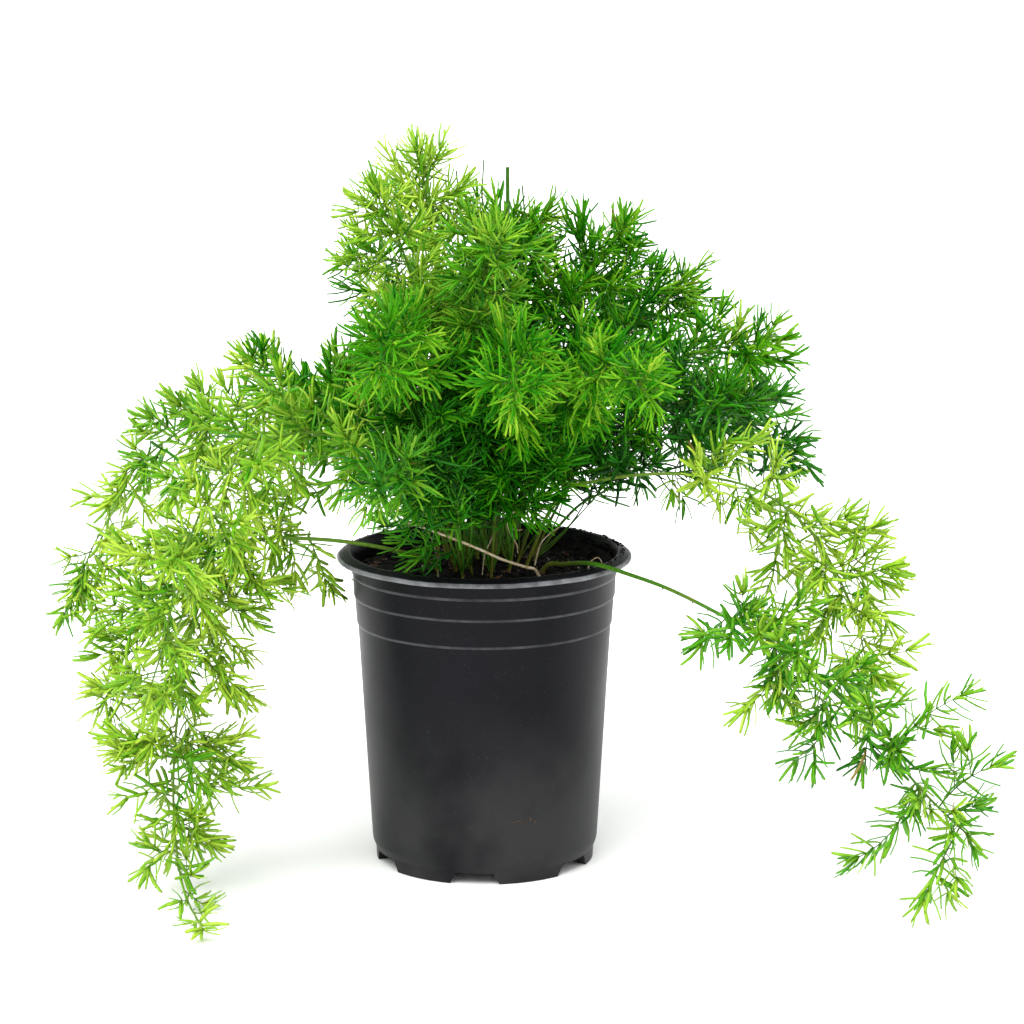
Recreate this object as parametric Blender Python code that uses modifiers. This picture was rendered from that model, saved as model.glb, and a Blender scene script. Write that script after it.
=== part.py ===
# Sprengeri asparagus fern growing in a black nursery pot.
# The pot stands on Z = 0 with its axis on the Z axis. -Y is the front and +Z is up. The sizes below are in
# millimetres. Every stem is one solid with its twigs and needles, rooted in its own hole in the soil.

import math
import random

import bmesh
import bpy
import numpy as np
from mathutils import Matrix, Vector

MM = 0.001
GAP = 0.3

# Pot: a trade one-gallon nursery pot, blow moulded in one thin wall with a rolled lip and stacking ledges
POT_HEIGHT = 176.5
POT_WALL = 1.4
POT_SIDES = 30
LIP_RADIUS = 82.5
LIP_CREST_RADIUS = 76.5
LIP_DROP = 4.6
BODY_TOP_RADIUS = 74.6
BODY_BOTTOM_RADIUS = 63.5
LEDGES = ((163.5, 74.2, 73.6), (151.5, 73.2, 72.5), (136.0, 71.6, 70.8))
LEDGE_SLOPE = 1.6
FLOOR_UNDERSIDE = 7.0
FOOT_COUNT = 6
FOOT_FIRST_ANGLE = 25.0
FOOT_WIDTH = 6.0
FOOT_RADIUS = 61.3
NOTCH_HEIGHT = 6.4
NOTCH_TOP_WIDTH = 21.0
NOTCH_BOTTOM_WIDTH = 29.0
NOTCH_LENGTH = 20.0
DRAIN_RADIUS = 4.5
DRAIN_CIRCLE = 47.0
DRAIN_SIDES = 8
BOTTOM_CORNER = 4.0
BOTTOM_CORNER_HEIGHT = 11.0

# Soil: flat by the wall, heaped round the crown
SOIL_LEVEL = 165.0
SOIL_HEAP = 6.0
SOIL_HEAP_RADIUS = 36.0
SOIL_LUMP = 0.9
SOIL_RINGS = (11.0, 23.0, 36.0, 49.0, 61.0)
HOLE_DEPTH = 12.0
HOLE_SIDES = 6
STRAIGHT_FOOT = 6.0
FOOT_UPRIGHTNESS = 0.8

# Stems, twigs and needles
CURVE_STEPS = 8
STEM_STEP = 24.0
STEM_TIP_SHARE = 0.8
TWIG_STEP = 10.0
TWIG_EVERY = 4
TWIG_RADIUS = 1.15
TWIG_SHORTENING = 0.7
TWIG_SHORTEST = 3.0
NEEDLE_ROOT_RADIUS = 0.65
NEEDLE_LENGTHS = (14.0, 19.0)
NEEDLE_STEP = 9.8
GOLDEN_ANGLE = 137.5
LOWEST_FOLIAGE = 3.0
POT_CLEAR_RADIUS = 86.0
POT_CLEAR_HEIGHT = 180.0
NODE_CLEARANCE = 0.5

LIGHT_GREEN = (0.30, 0.56, 0.06)
MID_GREEN = (0.12, 0.42, 0.05)
DARK_GREEN = (0.05, 0.27, 0.07)
STRAW = (0.62, 0.52, 0.34)
POT_BLACK = (0.022, 0.022, 0.025)
SOIL_BROWN = (0.035, 0.022, 0.014)

# Each stem: its foot on the soil, its thickness, how far up the first twig is, its longest twig, how
# much the twigs shorten to its tip and how far apart they are if not as usual, its colour, the points it
# passes through, and the sprays placed by hand as (distance up the stem, tip). All are in mm.
STEMS = {
    "stem_left_trailing": {
        "foot": (-26, -18), "radius": 1.4, "bare": 125, "twig": 40, "taper": 1.12, "step": 13,
        "colour": LIGHT_GREEN,
        "path": [(-46, -28, 181), (-74, -26, 186), (-100, -30, 189), (-121, -36, 190), (-138, -44, 185),
                 (-151, -54, 168), (-160, -62, 140), (-166, -70, 105), (-169, -76, 68), (-168, -84, 36),
                 (-164, -97, 15), (-158, -118, 7), (-152, -140, 6), (-147, -160, 6)],
        "sprays": [(78, (-87, 8, 152)), (90, (-104, -36, 171)), (128, (-110, -46, 164)),
                   (150, (-128, -56, 149)), (180, (-128, -70, 110)), (205, (-158, -68, 107)),
                   (215, (-210, -62, 113)), (226, (-184, -73, 86)), (232, (-133, -71, 88)),
                   (238, (-199, -75, 88)), (244, (-196, -77, 72)), (243, (-139, -74, 75)),
                   (255, (-124, -72, 60)), (265, (-194, -82, 56)), (277, (-178, -83, 42)),
                   (289, (-150, -86, 32))]},
    "stem_left_arch": {
        "foot": (-17, -8), "radius": 1.3, "bare": 100, "twig": 40, "step": 13, "colour": LIGHT_GREEN,
        "path": [(-24, -14, 205), (-46, -20, 216), (-68, -20, 219), (-104, -30, 217), (-139, -40, 198),
                 (-174, -50, 153), (-193, -55, 126), (-211, -60, 100)],
        "sprays": [(150, (-116, -39, 186)), (165, (-126, -47, 169)), (175, (-197, -58, 192)),
                   (190, (-135, -46, 156)), (200, (-209, -63, 145)), (209, (-190, -48, 184)),
                   (250, (-210, -58, 130))]},
    "stem_left_back": {
        "foot": (-22, 18), "radius": 1.3, "bare": 80, "twig": 42, "taper": 0.78, "step": 13,
        "colour": LIGHT_GREEN,
        "path": [(-34, 27, 226), (-78, 70, 242), (-127, 115, 231), (-171, 150, 210), (-210, 175, 182),
                 (-238, 188, 144), (-253, 194, 108)],
        "sprays": [(366, (-226, 190, 122)), (372, (-261, 196, 94)), (378, (-251, 193, 107)),
                   (384, (-240, 193, 98))]},
    "stem_left_upper": {
        "foot": (-15, 4), "radius": 1.2, "bare": 60, "twig": 32, "colour": MID_GREEN,
        "path": [(-24, 6, 228), (-64, 12, 250), (-103, 14, 264), (-131, 18, 282)]},
    "stem_left_mid": {
        "foot": (-25, 8), "radius": 1.3, "bare": 70, "twig": 40, "step": 13, "colour": LIGHT_GREEN,
        "path": [(-38, 22, 226), (-82, 35, 248), (-128, 50, 250), (-169, 60, 236), (-207, 66, 208)],
        "sprays": [(205, (-178, 61, 250)), (240, (-217, 66, 188)), (238, (-201, 64, 222))]},
    "stem_left_front": {
        "foot": (-16, -24), "radius": 1.3, "bare": 70, "twig": 42, "step": 13, "colour": LIGHT_GREEN,
        "path": [(-40, -45, 228), (-81, -85, 257), (-117, -115, 257), (-141, -135, 235),
                 (-156, -148, 200), (-165, -154, 160), (-176, -154, 126)],
        "sprays": [(262, (-182, -149, 205)), (272, (-187, -152, 188))]},
    "stem_top": {
        "foot": (-4, 0), "radius": 1.3, "bare": 60, "twig": 38, "taper": 0.55, "colour": LIGHT_GREEN,
        "path": [(-8, 0, 244), (-20, -10, 307), (-29, -20, 360), (-34, -25, 401)],
        "sprays": [(192, (-49, -25, 396)), (204, (-13, -21, 380)), (214, (-37, -27, 403)),
                   (180, (-16, -15, 366)), (176, (-41, -11, 370))]},
    "stem_top_left": {
        "foot": (-9, -14), "radius": 1.2, "bare": 60, "twig": 38, "colour": LIGHT_GREEN,
        "path": [(-20, -30, 262), (-34, -55, 322), (-45, -75, 362), (-54, -86, 386)],
        "sprays": [(205, (-57, -87, 390)), (188, (-66, -69, 362))]},
    "stem_top_left_low": {
        "foot": (-9, 9), "radius": 1.2, "bare": 55, "twig": 36, "colour": MID_GREEN,
        "path": [(-27, 19, 262), (-54, 24, 312), (-72, 24, 338)]},
    "stem_top_mid": {
        "foot": (3, 9), "radius": 1.2, "bare": 60, "twig": 38, "taper": 0.5, "colour": MID_GREEN,
        "path": [(7, 25, 257), (9, 32, 312), (17, 34, 360)],
        "sprays": [(150, (32, 30, 358)), (158, (6, 27, 368)), (140, (38, 34, 341)), (150, (22, 11, 354)),
                   (130, (34, 2, 330)), (162, (36, 32, 364)), (154, (-4, 30, 368))]},
    "stem_cut": {
        "foot": (6, -3), "radius": 1.5, "bare": 500, "twig": 0, "colour": DARK_GREEN,
        "path": [(9, 4, 249), (13, 0, 317), (13, -5, 391)]},
    "stem_top_right": {
        "foot": (11, 6), "radius": 1.2, "bare": 60, "twig": 40, "taper": 0.5, "colour": MID_GREEN,
        "path": [(25, 15, 255), (51, 22, 315), (77, 22, 356)],
        "sprays": [(150, (34, 9, 349)), (156, (54, 14, 361)), (170, (82, 25, 357)), (146, (60, 36, 345)),
                   (162, (88, 12, 335)), (130, (48, -12, 328))]},
    "stem_right_up": {
        "foot": (15, 20), "radius": 1.2, "bare": 60, "twig": 40, "colour": MID_GREEN,
        "path": [(37, 40, 246), (70, 68, 286), (98, 86, 306), (116, 96, 312)],
        "sprays": [(172, (122, 85, 323)), (160, (95, 80, 323)), (148, (74, 78, 322)),
                   (176, (131, 99, 303)), (166, (112, 90, 294))]},
    "stem_front_top": {
        "foot": (0, -18), "radius": 1.2, "bare": 60, "twig": 36, "colour": LIGHT_GREEN,
        "path": [(1, -46, 260), (-2, -78, 318), (4, -106, 352), (12, -128, 366)],
        "sprays": [(188, (-6, -102, 374)), (198, (25, -113, 363)), (180, (9, -105, 372))]},
    "stem_front_left": {
        "foot": (-7, -28), "radius": 1.2, "bare": 55, "twig": 38, "colour": MID_GREEN,
        "path": [(-20, -60, 250), (-36, -110, 300), (-46, -150, 314), (-54, -185, 306)]},
    "stem_front_mid": {
        "foot": (4, -34), "radius": 1.2, "bare": 55, "twig": 38, "colour": MID_GREEN,
        "path": [(9, -62, 244), (15, -112, 290), (17, -158, 304), (17, -196, 292)]},
    "stem_front_right": {
        "foot": (14, -26), "radius": 1.2, "bare": 55, "twig": 38, "colour": MID_GREEN,
        "path": [(26, -52, 244), (52, -100, 290), (70, -138, 302), (86, -170, 290)]},
    "stem_front_low": {
        "foot": (-12, -38), "radius": 1.1, "bare": 46, "twig": 36, "colour": DARK_GREEN,
        "path": [(-20, -62, 222), (-36, -100, 244), (-48, -132, 244), (-54, -156, 230)],
        "sprays": [(26, (-44, -42, 190)), (20, (-37, -46, 181)), (38, (-40, -58, 199))]},
    "stem_right_dark": {
        "foot": (28, 2), "radius": 1.2, "bare": 60, "twig": 42, "colour": DARK_GREEN,
        "path": [(51, 5, 199), (71, 2, 212), (90, -2, 232), (117, -10, 254), (146, -18, 264)],
        "sprays": [(52, (57, -1, 210)), (130, (162, -24, 267))]},
    "stem_right_upper": {
        "foot": (19, -3), "radius": 1.2, "bare": 60, "twig": 42, "colour": MID_GREEN,
        "path": [(46, 0, 238), (86, 4, 272), (130, -4, 291), (160, -16, 294)],
        "sprays": [(178, (165, -15, 286)), (176, (150, -7, 296)), (150, (132, 8, 292))]},
    "stem_right_arch": {
        "foot": (24, -8), "radius": 1.4, "bare": 128, "twig": 34, "step": 11, "colour": LIGHT_GREEN,
        "path": [(42, -17, 211), (64, -22, 220), (91, -30, 225), (118, -40, 226), (150, -53, 220),
                 (177, -68, 200), (196, -86, 168), (204, -98, 140), (207, -106, 112)],
        "sprays": [(114, (103, -35, 217)), (140, (129, -46, 213)), (178, (150, -62, 160)),
                   (205, (209, -82, 206)), (232, (217, -94, 186)), (238, (161, -89, 152)),
                   (240, (217, -94, 157)), (224, (178, -88, 189)), (225, (209, -78, 193)),
                   (267, (202, -102, 161)), (274, (227, -98, 142)), (282, (204, -118, 137)),
                   (299, (204, -115, 106))]},
    "stem_right_trailing": {
        "foot": (32, -18), "radius": 1.4, "bare": 147, "twig": 32, "taper": 0.9, "step": 14,
        "colour": DARK_GREEN,
        "path": [(44, -28, 174), (60, -50, 179), (80, -70, 177), (100, -92, 174), (123, -115, 167),
                 (153, -138, 155), (183, -160, 134), (206, -175, 113), (222, -186, 94), (237, -192, 79),
                 (249, -193, 68)],
        "sprays": [(145, (115, -121, 151)), (150, (141, -129, 170)), (155, (136, -132, 181)),
                   (166, (144, -153, 164)), (184, (138, -147, 123)), (193, (169, -168, 147)),
                   (210, (196, -158, 148)), (226, (163, -167, 101)), (233, (190, -181, 125)),
                   (247, (198, -182, 133)), (259, (213, -193, 112)), (262, (247, -179, 138)),
                   (285, (193, -189, 54)), (292, (222, -200, 88)), (300, (261, -193, 104)),
                   (306, (252, -196, 84)), (312, (240, -203, 72)), (317, (252, -196, 62)),
                   (315, (227, -195, 33))]},
    "stem_back_left": {
        "foot": (-12, 28), "radius": 1.2, "bare": 60, "twig": 42, "colour": MID_GREEN,
        "path": [(-28, 60, 222), (-62, 118, 240), (-94, 168, 232), (-116, 200, 204)]},
    "stem_back_mid": {
        "foot": (2, 32), "radius": 1.2, "bare": 60, "twig": 42, "colour": MID_GREEN,
        "path": [(6, 76, 248), (2, 128, 288), (-6, 172, 290), (-14, 203, 266)]},
    "stem_back_right": {
        "foot": (13, 34), "radius": 1.2, "bare": 60, "twig": 42, "colour": DARK_GREEN,
        "path": [(32, 78, 234), (66, 128, 264), (98, 168, 262), (124, 196, 236)]},
    "stem_right_mid": {
        "foot": (27, 14), "radius": 1.2, "bare": 60, "twig": 42, "colour": DARK_GREEN,
        "path": [(65, 36, 232), (114, 60, 248), (150, 78, 236), (178, 88, 208)],
        "sprays": [(182, (173, 78, 239)), (162, (162, 69, 253)), (190, (188, 94, 206))]},
    "stem_back_trailing": {
        "foot": (-4, 43), "radius": 1.3, "bare": 90, "twig": 42, "colour": DARK_GREEN,
        "path": [(-8, 68, 190), (-14, 96, 200), (-24, 130, 194), (-34, 158, 168), (-42, 176, 130),
                 (-46, 186, 88), (-48, 194, 50)]},
    "dry_stem": {
        "foot": (31, -36), "radius": 0.9, "bare": 500, "twig": 0, "colour": STRAW,
        "path": [(22.5, -43, 175.7), (10, -48, 181), (-2, -52, 187.4), (-15.5, -57.5, 194.2),
                 (-29, -58, 199.5), (-41, -54, 202.6)]},
}


def clear_scene():
    for item in list(bpy.data.objects):
        bpy.data.objects.remove(item, do_unlink=True)


def new_collection(name):
    collection = bpy.data.collections.new(name)
    bpy.context.scene.collection.children.link(collection)
    return collection


def new_object(name, data, collection):
    item = bpy.data.objects.new(name, data)
    collection.objects.link(item)
    return item


def new_material(name, colour, roughness):
    material = bpy.data.materials.new(name)
    material.use_nodes = True
    shader = material.node_tree.nodes["Principled BSDF"]
    shader.inputs["Base Color"].default_value = (*colour, 1.0)
    shader.inputs["Roughness"].default_value = roughness
    shader.inputs["Metallic"].default_value = 0.0
    return material


def evaluated_mesh(item):
    depsgraph = bpy.context.evaluated_depsgraph_get()
    return bpy.data.meshes.new_from_object(item.evaluated_get(depsgraph))


def apply_modifiers(item):
    finished = evaluated_mesh(item)
    item.modifiers.clear()
    item.data = finished


def turned(name, profile, collection):
    # A profile of (radius, height) points in mm, turned once round the Z axis
    mesh = bpy.data.meshes.new(name)
    points = [(radius * MM, 0.0, height * MM) for radius, height in profile]
    mesh.from_pydata(points, [(i, i + 1) for i in range(len(points) - 1)], [])
    item = new_object(name, mesh, collection)
    screw = item.modifiers.new("Turned", "SCREW")
    screw.steps = POT_SIDES
    screw.render_steps = POT_SIDES
    screw.use_merge_vertices = True
    screw.merge_threshold = 0.00001
    return item


def around(angle_degrees, radius, height=0.0):
    # A point round the pot, with the angle measured from the front towards +X
    angle = math.radians(angle_degrees)
    return Vector((math.sin(angle) * radius * MM, -math.cos(angle) * radius * MM, height * MM))


def wall_profile(inset):
    # The wall's outline below the lip, from the top down, at a distance inside the outer face
    points = []
    for height, radius_above, radius_below in LEDGES:
        points.append((radius_above - inset, height + LEDGE_SLOPE / 2))
        points.append((radius_below - inset, height - LEDGE_SLOPE / 2))
    return points


def make_pot(parts, cutters):
    lip_bottom = POT_HEIGHT - LIP_DROP
    outer = [
        (LIP_CREST_RADIUS - 1.6, POT_HEIGHT),
        (LIP_CREST_RADIUS + 0.6, POT_HEIGHT),
        (LIP_RADIUS - 1.2, POT_HEIGHT - 1.7),
        (LIP_RADIUS, POT_HEIGHT - 2.9),
        (LIP_RADIUS, lip_bottom + 0.4),
        (LIP_RADIUS - POT_WALL, lip_bottom),
        (LIP_RADIUS - POT_WALL - 1.0, POT_HEIGHT - 3.2),
        (LIP_CREST_RADIUS + 1.0, POT_HEIGHT - 2.2),
        (BODY_TOP_RADIUS, POT_HEIGHT - 4.2),
    ]
    outer += wall_profile(0.0)
    outer += [
        (BODY_BOTTOM_RADIUS, BOTTOM_CORNER_HEIGHT),
        (FOOT_RADIUS + 0.4, FLOOR_UNDERSIDE),
        (FOOT_RADIUS, 0.0),
        (FOOT_RADIUS - FOOT_WIDTH, 0.0),
        (FOOT_RADIUS - FOOT_WIDTH, FLOOR_UNDERSIDE),
        (0.0, FLOOR_UNDERSIDE),
    ]
    floor = FLOOR_UNDERSIDE + POT_WALL
    inner = [(0.0, floor), (BODY_BOTTOM_RADIUS - BOTTOM_CORNER, floor),
             (BODY_BOTTOM_RADIUS - POT_WALL, BOTTOM_CORNER_HEIGHT + 0.5)]
    inner += reversed(wall_profile(POT_WALL))
    inner += [(BODY_TOP_RADIUS - POT_WALL, POT_HEIGHT - 5.0)]
    # From the axis on the floor, up the inside, over the lip, down the outside and back to the axis
    pot = turned("pot", inner + outer, parts)

    notches = bpy.data.collections.new("pot_cutters")
    cutters.children.link(notches)
    step = 360.0 / FOOT_COUNT
    for number in range(FOOT_COUNT):
        angle = FOOT_FIRST_ANGLE + step * (number + 0.5)
        bpy.ops.mesh.primitive_cube_add(size=1.0)
        notch = bpy.context.object
        notch.name = f"notch_{number + 1}"
        for vertex in notch.data.vertices:
            width = NOTCH_TOP_WIDTH if vertex.co.z > 0.0 else NOTCH_BOTTOM_WIDTH
            vertex.co.x *= width * MM
            vertex.co.y *= NOTCH_LENGTH * MM
            vertex.co.z = (NOTCH_HEIGHT if vertex.co.z > 0.0 else -1.0) * MM
        notch.location = around(angle, FOOT_RADIUS - FOOT_WIDTH / 2)
        notch.rotation_euler.z = math.radians(angle)
        as_cutter(notch, notches)
        bpy.ops.mesh.primitive_cylinder_add(vertices=DRAIN_SIDES, radius=DRAIN_RADIUS * MM,
                                            depth=4.0 * POT_WALL * MM,
                                            location=around(angle, DRAIN_CIRCLE, FLOOR_UNDERSIDE))
        drain = bpy.context.object
        drain.name = f"drain_{number + 1}"
        as_cutter(drain, notches)
    cut = pot.modifiers.new("Feet and drain holes", "BOOLEAN")
    cut.operation = "DIFFERENCE"
    cut.operand_type = "COLLECTION"
    cut.collection = notches
    pot.data.materials.append(new_material("black_polypropylene", POT_BLACK, 0.42))


def as_cutter(item, collection):
    for owner in list(item.users_collection):
        owner.objects.unlink(item)
    collection.objects.link(item)
    item.hide_render = True
    item.display_type = "WIRE"


def soil_height(x, y):
    # The soil's surface in mm: a low heap round the crown, with lumps
    heap = SOIL_HEAP * math.exp(-(x * x + y * y) / SOIL_HEAP_RADIUS ** 2)
    lumps = math.sin(x * 0.31 + 0.6) * math.cos(y * 0.27 - 0.9) + 0.6 * math.sin(x * 0.17 - y * 0.43)
    return SOIL_LEVEL + heap + SOIL_LUMP * lumps


def make_soil(parts, holes):
    wall = [(radius - GAP, height) for radius, height in wall_profile(POT_WALL) if height < SOIL_LEVEL - 3.0]
    top_radius = wall[0][0]
    bottom = FLOOR_UNDERSIDE + POT_WALL + GAP
    profile = [(0.0, SOIL_LEVEL)] + [(radius, SOIL_LEVEL) for radius in SOIL_RINGS]
    profile += [(top_radius, SOIL_LEVEL)] + wall
    profile += [(BODY_BOTTOM_RADIUS - POT_WALL - GAP, BOTTOM_CORNER_HEIGHT + 1.0),
                (BODY_BOTTOM_RADIUS - BOTTOM_CORNER - 1.5 * GAP, bottom), (0.0, bottom)]
    soil = turned("soil", profile, parts)
    apply_modifiers(soil)
    for vertex in soil.data.vertices:
        if abs(vertex.co.z - SOIL_LEVEL * MM) < 0.0001:
            vertex.co.z = soil_height(vertex.co.x / MM, vertex.co.y / MM) * MM
    cut = soil.modifiers.new("Stem holes", "BOOLEAN")
    cut.operation = "DIFFERENCE"
    cut.operand_type = "COLLECTION"
    cut.collection = holes
    soil.data.materials.append(new_material("potting_soil", SOIL_BROWN, 0.95))


def smooth_route(points):
    # Points of a Catmull-Rom curve through the given points
    first = points[0] * 2 - points[1]
    last = points[-1] * 2 - points[-2]
    ends = [first, *points, last]
    route = []
    for a, b, c, d in zip(ends, ends[1:], ends[2:], ends[3:]):
        for step in range(CURVE_STEPS):
            t = step / CURVE_STEPS
            route.append(0.5 * (2 * b + (c - a) * t + (2 * a - 5 * b + 4 * c - d) * t ** 2
                                + (3 * b - a - 3 * c + d) * t ** 3))
    return [*route, points[-1]]


def stem_route(stem):
    # The stem's whole line in mm, from the bottom of its hole, and its direction in the hole
    x, y = stem["foot"]
    foot = Vector((x, y, soil_height(x, y)))
    passes = [Vector(point) for point in stem["path"]]
    rise = ((passes[0] - foot).normalized() + Vector((0.0, 0.0, FOOT_UPRIGHTNESS))).normalized()
    start = foot - rise * (HOLE_DEPTH - GAP)
    collar = foot + rise * STRAIGHT_FOOT
    return smooth_route([start, collar, *passes]), rise


def route_length(route):
    return sum((b - a).length for a, b in zip(route, route[1:]))


def along(route, distance):
    # The point and the direction at a distance from the route's start
    for a, b in zip(route, route[1:]):
        step = (b - a).length
        if distance <= step:
            return a.lerp(b, distance / step), (b - a).normalized()
        distance -= step
    return route[-1].copy(), (route[-1] - route[-2]).normalized()


def leaning(direction, spin, lean):
    # A direction that leans away from another by an angle, turned round it by the spin, both in degrees
    level = direction.cross(Vector((0.0, 0.0, 1.0)))
    level = level.normalized() if level.length > 0.05 else Vector((1.0, 0.0, 0.0))
    across = level.cross(direction).normalized()
    spin, lean = math.radians(spin), math.radians(lean)
    side = level * math.cos(spin) + across * math.sin(spin)
    return (direction * math.cos(lean) + side * math.sin(lean)).normalized()


def kept_off_ground(root, direction, length):
    # Foliage that would reach the ground lies along it
    lowest = min(0.9, (LOWEST_FOLIAGE - root.z) / length)
    if direction.z >= lowest:
        return direction
    level = Vector((direction.x, direction.y, 0.0)).normalized() * math.sqrt(1.0 - lowest * lowest)
    return Vector((level.x, level.y, lowest))


def twig_plan(name, stem, line, number):
    # Root, direction and length of one side twig. Twigs stand round the stem by the golden angle.
    draw = random.Random(f"{name} twig {number}")
    start = HOLE_DEPTH + stem["bare"]
    distance = start + stem.get("step", TWIG_STEP) * number
    share = (distance - start) / (route_length(line) - start)
    root, forward = along(line, distance)
    spin = GOLDEN_ANGLE * number + draw.uniform(-25.0, 25.0)
    direction = leaning(forward, spin, draw.uniform(48.0, 66.0))
    shortened = stem["twig"] * (1.0 - stem.get("taper", TWIG_SHORTENING) * share ** 2)
    length = max(TWIG_SHORTEST, shortened) * draw.uniform(0.8, 1.05)
    return root, kept_off_ground(root, direction, length), length


def segment_gap(start, end, others):
    # Shortest distance from one straight piece to each of many, given as rows of start and end
    p, d = np.array(start), np.array(end - start)
    q = others[:, 0:3]
    e = others[:, 3:6] - q
    r = p - q
    dd, ee, de = d @ d, np.einsum("ij,ij->i", e, e), e @ d
    dr, er = r @ d, np.einsum("ij,ij->i", e, r)
    spread = np.maximum(dd * ee - de * de, 1e-9)
    s = np.clip((de * er - dr * ee) / spread, 0.0, 1.0)
    t = np.clip((de * s + er) / ee, 0.0, 1.0)
    s = np.clip((de * t - dr) / dd, 0.0, 1.0)
    return np.linalg.norm(r + np.outer(s, d) - e * t[:, None], axis=1)


class Space:
    # What each node already fills, as straight round pieces, so that no two nodes touch
    def __init__(self):
        self.rows = {}

    def fill(self, name, start, end, radius):
        self.rows.setdefault(name, []).append((*start, *end, radius))

    def is_clear(self, name, start, end, radius):
        others = np.array([row for owner, rows in self.rows.items() if owner != name for row in rows])
        gaps = segment_gap(start, end, others) - others[:, 6] - radius
        return gaps.min() > NODE_CLEARANCE


def clear_of_pot(start, end):
    for step in range(5):
        point = start.lerp(end, step / 4)
        if math.hypot(point.x, point.y) < POT_CLEAR_RADIUS and point.z < POT_CLEAR_HEIGHT:
            return False
    return True


def cone_mesh(name, root_radius, tip_radius):
    # A three-sided cone of length 1 on +Z, scaled to its length where it is used
    mesh = bpy.data.meshes.new(name)
    shape = bmesh.new()
    bmesh.ops.create_cone(shape, cap_ends=True, segments=3, radius1=root_radius * MM, radius2=tip_radius * MM,
                          depth=MM, matrix=Matrix.Translation((0.0, 0.0, 0.5 * MM)))
    shape.to_mesh(mesh)
    shape.free()
    return mesh


def place_cone(mesh, root, direction, length, collection):
    item = new_object(mesh.name, mesh, collection)
    turn = direction.to_track_quat("Z", "Y").to_matrix().to_4x4()
    item.matrix_world = Matrix.Translation(root * MM) @ turn @ Matrix.Diagonal((1.0, 1.0, length, 1.0))
    return item


def stem_line(stem):
    # The stem's own line of a few straight runs, on which its twigs are rooted, and its direction in the hole
    route, rise = stem_route(stem)
    length = route_length(route)
    collar = HOLE_DEPTH + STRAIGHT_FOOT
    steps = max(2, round((length - collar) / STEM_STEP))
    stations = [0.0] + [collar + (length - collar) * step / steps for step in range(steps + 1)]
    return [along(route, station)[0] for station in stations], rise


def stem_tube(name, stem, line, collection):
    # The bare stem as a tapering tube with filled ends
    length = route_length(line)
    curve = bpy.data.curves.new(name, "CURVE")
    curve.dimensions = "3D"
    curve.bevel_depth = stem["radius"] * MM
    curve.bevel_resolution = 0
    curve.use_fill_caps = True
    spline = curve.splines.new("POLY")
    spline.points.add(len(line) - 1)
    for number, point in enumerate(spline.points):
        point.co = (*(line[number] * MM), 1.0)
        point.radius = 1.0 - (1.0 - STEM_TIP_SHARE) * route_length(line[:number + 1]) / length
    guide = new_object(f"{name}_curve", curve, collection)
    tube = new_object(name, evaluated_mesh(guide), collection)
    tube.matrix_world = guide.matrix_world
    bpy.data.objects.remove(guide, do_unlink=True)
    shape = bmesh.new()
    shape.from_mesh(tube.data)
    bmesh.ops.remove_doubles(shape, verts=shape.verts, dist=0.00001)
    shape.to_mesh(tube.data)
    shape.free()
    return tube


def add_needles(name, root, direction, length, space, needle, pieces):
    # Needles round a twig and one past its end. A needle that would touch another node is left out.
    draw = random.Random(f"{name} needles {root.x:.3f}")
    count = max(2, round(length / NEEDLE_STEP))
    for number in range(count + 1):
        place = root + direction * (length * min(0.96, (number + 0.6) / count))
        lean = 10.0 if number == count else draw.uniform(42.0, 62.0)
        pointing = leaning(direction, GOLDEN_ANGLE * number + draw.uniform(-20.0, 20.0), lean)
        reach = draw.uniform(*NEEDLE_LENGTHS)
        pointing = kept_off_ground(place, pointing, reach)
        tip = place + pointing * reach
        if clear_of_pot(place, tip) and space.is_clear(name, place, tip, NEEDLE_ROOT_RADIUS):
            space.fill(name, place, tip, NEEDLE_ROOT_RADIUS)
            place_cone(needle, place, pointing, reach, pieces)


def twig_plans(name, stem, line):
    # The twigs that are placed by hand, then those that follow the rule
    for distance, tip in stem.get("sprays", ()):
        root = along(line, HOLE_DEPTH + distance)[0]
        reach = Vector(tip) - root
        yield root, reach.normalized(), reach.length
    last = route_length(line) - 6.0 - HOLE_DEPTH - stem["bare"]
    for number in range(0, math.ceil(last / stem.get("step", TWIG_STEP)), TWIG_EVERY):
        yield twig_plan(name, stem, line, number)


def grow_foliage(name, stem, line, space, shapes, pieces):
    twig, needle = shapes
    for root, direction, length in twig_plans(name, stem, line):
        tip = root + direction * length
        if clear_of_pot(root, tip) and space.is_clear(name, root, tip, TWIG_RADIUS):
            space.fill(name, root, tip, TWIG_RADIUS)
            place_cone(twig, root, direction, length, pieces)
            add_needles(name, root, direction, length, space, needle, pieces)
    end, forward = along(line, route_length(line) - 12.0)
    add_needles(name, end, forward, 12.0, space, needle, pieces)


def join_in(stem, pieces):
    # One union of the stem with its twigs and needles, after which the loose ones are removed
    union = stem.modifiers.new("Grown together", "BOOLEAN")
    union.operation = "UNION"
    union.operand_type = "COLLECTION"
    union.collection = pieces
    union.solver = "EXACT"
    apply_modifiers(stem)
    for item in list(pieces.objects):
        bpy.data.objects.remove(item, do_unlink=True)
    bpy.data.collections.remove(pieces)


def make_hole(name, stem, rise, holes):
    x, y = stem["foot"]
    foot = Vector((x, y, soil_height(x, y)))
    radius = (stem["radius"] + GAP) / math.cos(math.pi / HOLE_SIDES)
    top = foot + rise * STRAIGHT_FOOT
    bottom = foot - rise * HOLE_DEPTH
    bpy.ops.mesh.primitive_cylinder_add(vertices=HOLE_SIDES, radius=radius * MM,
                                        depth=(top - bottom).length * MM, location=(top + bottom) * 0.5 * MM,
                                        rotation=rise.to_track_quat("Z", "Y").to_euler())
    hole = bpy.context.object
    hole.name = f"{name}_hole"
    as_cutter(hole, holes)


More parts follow.
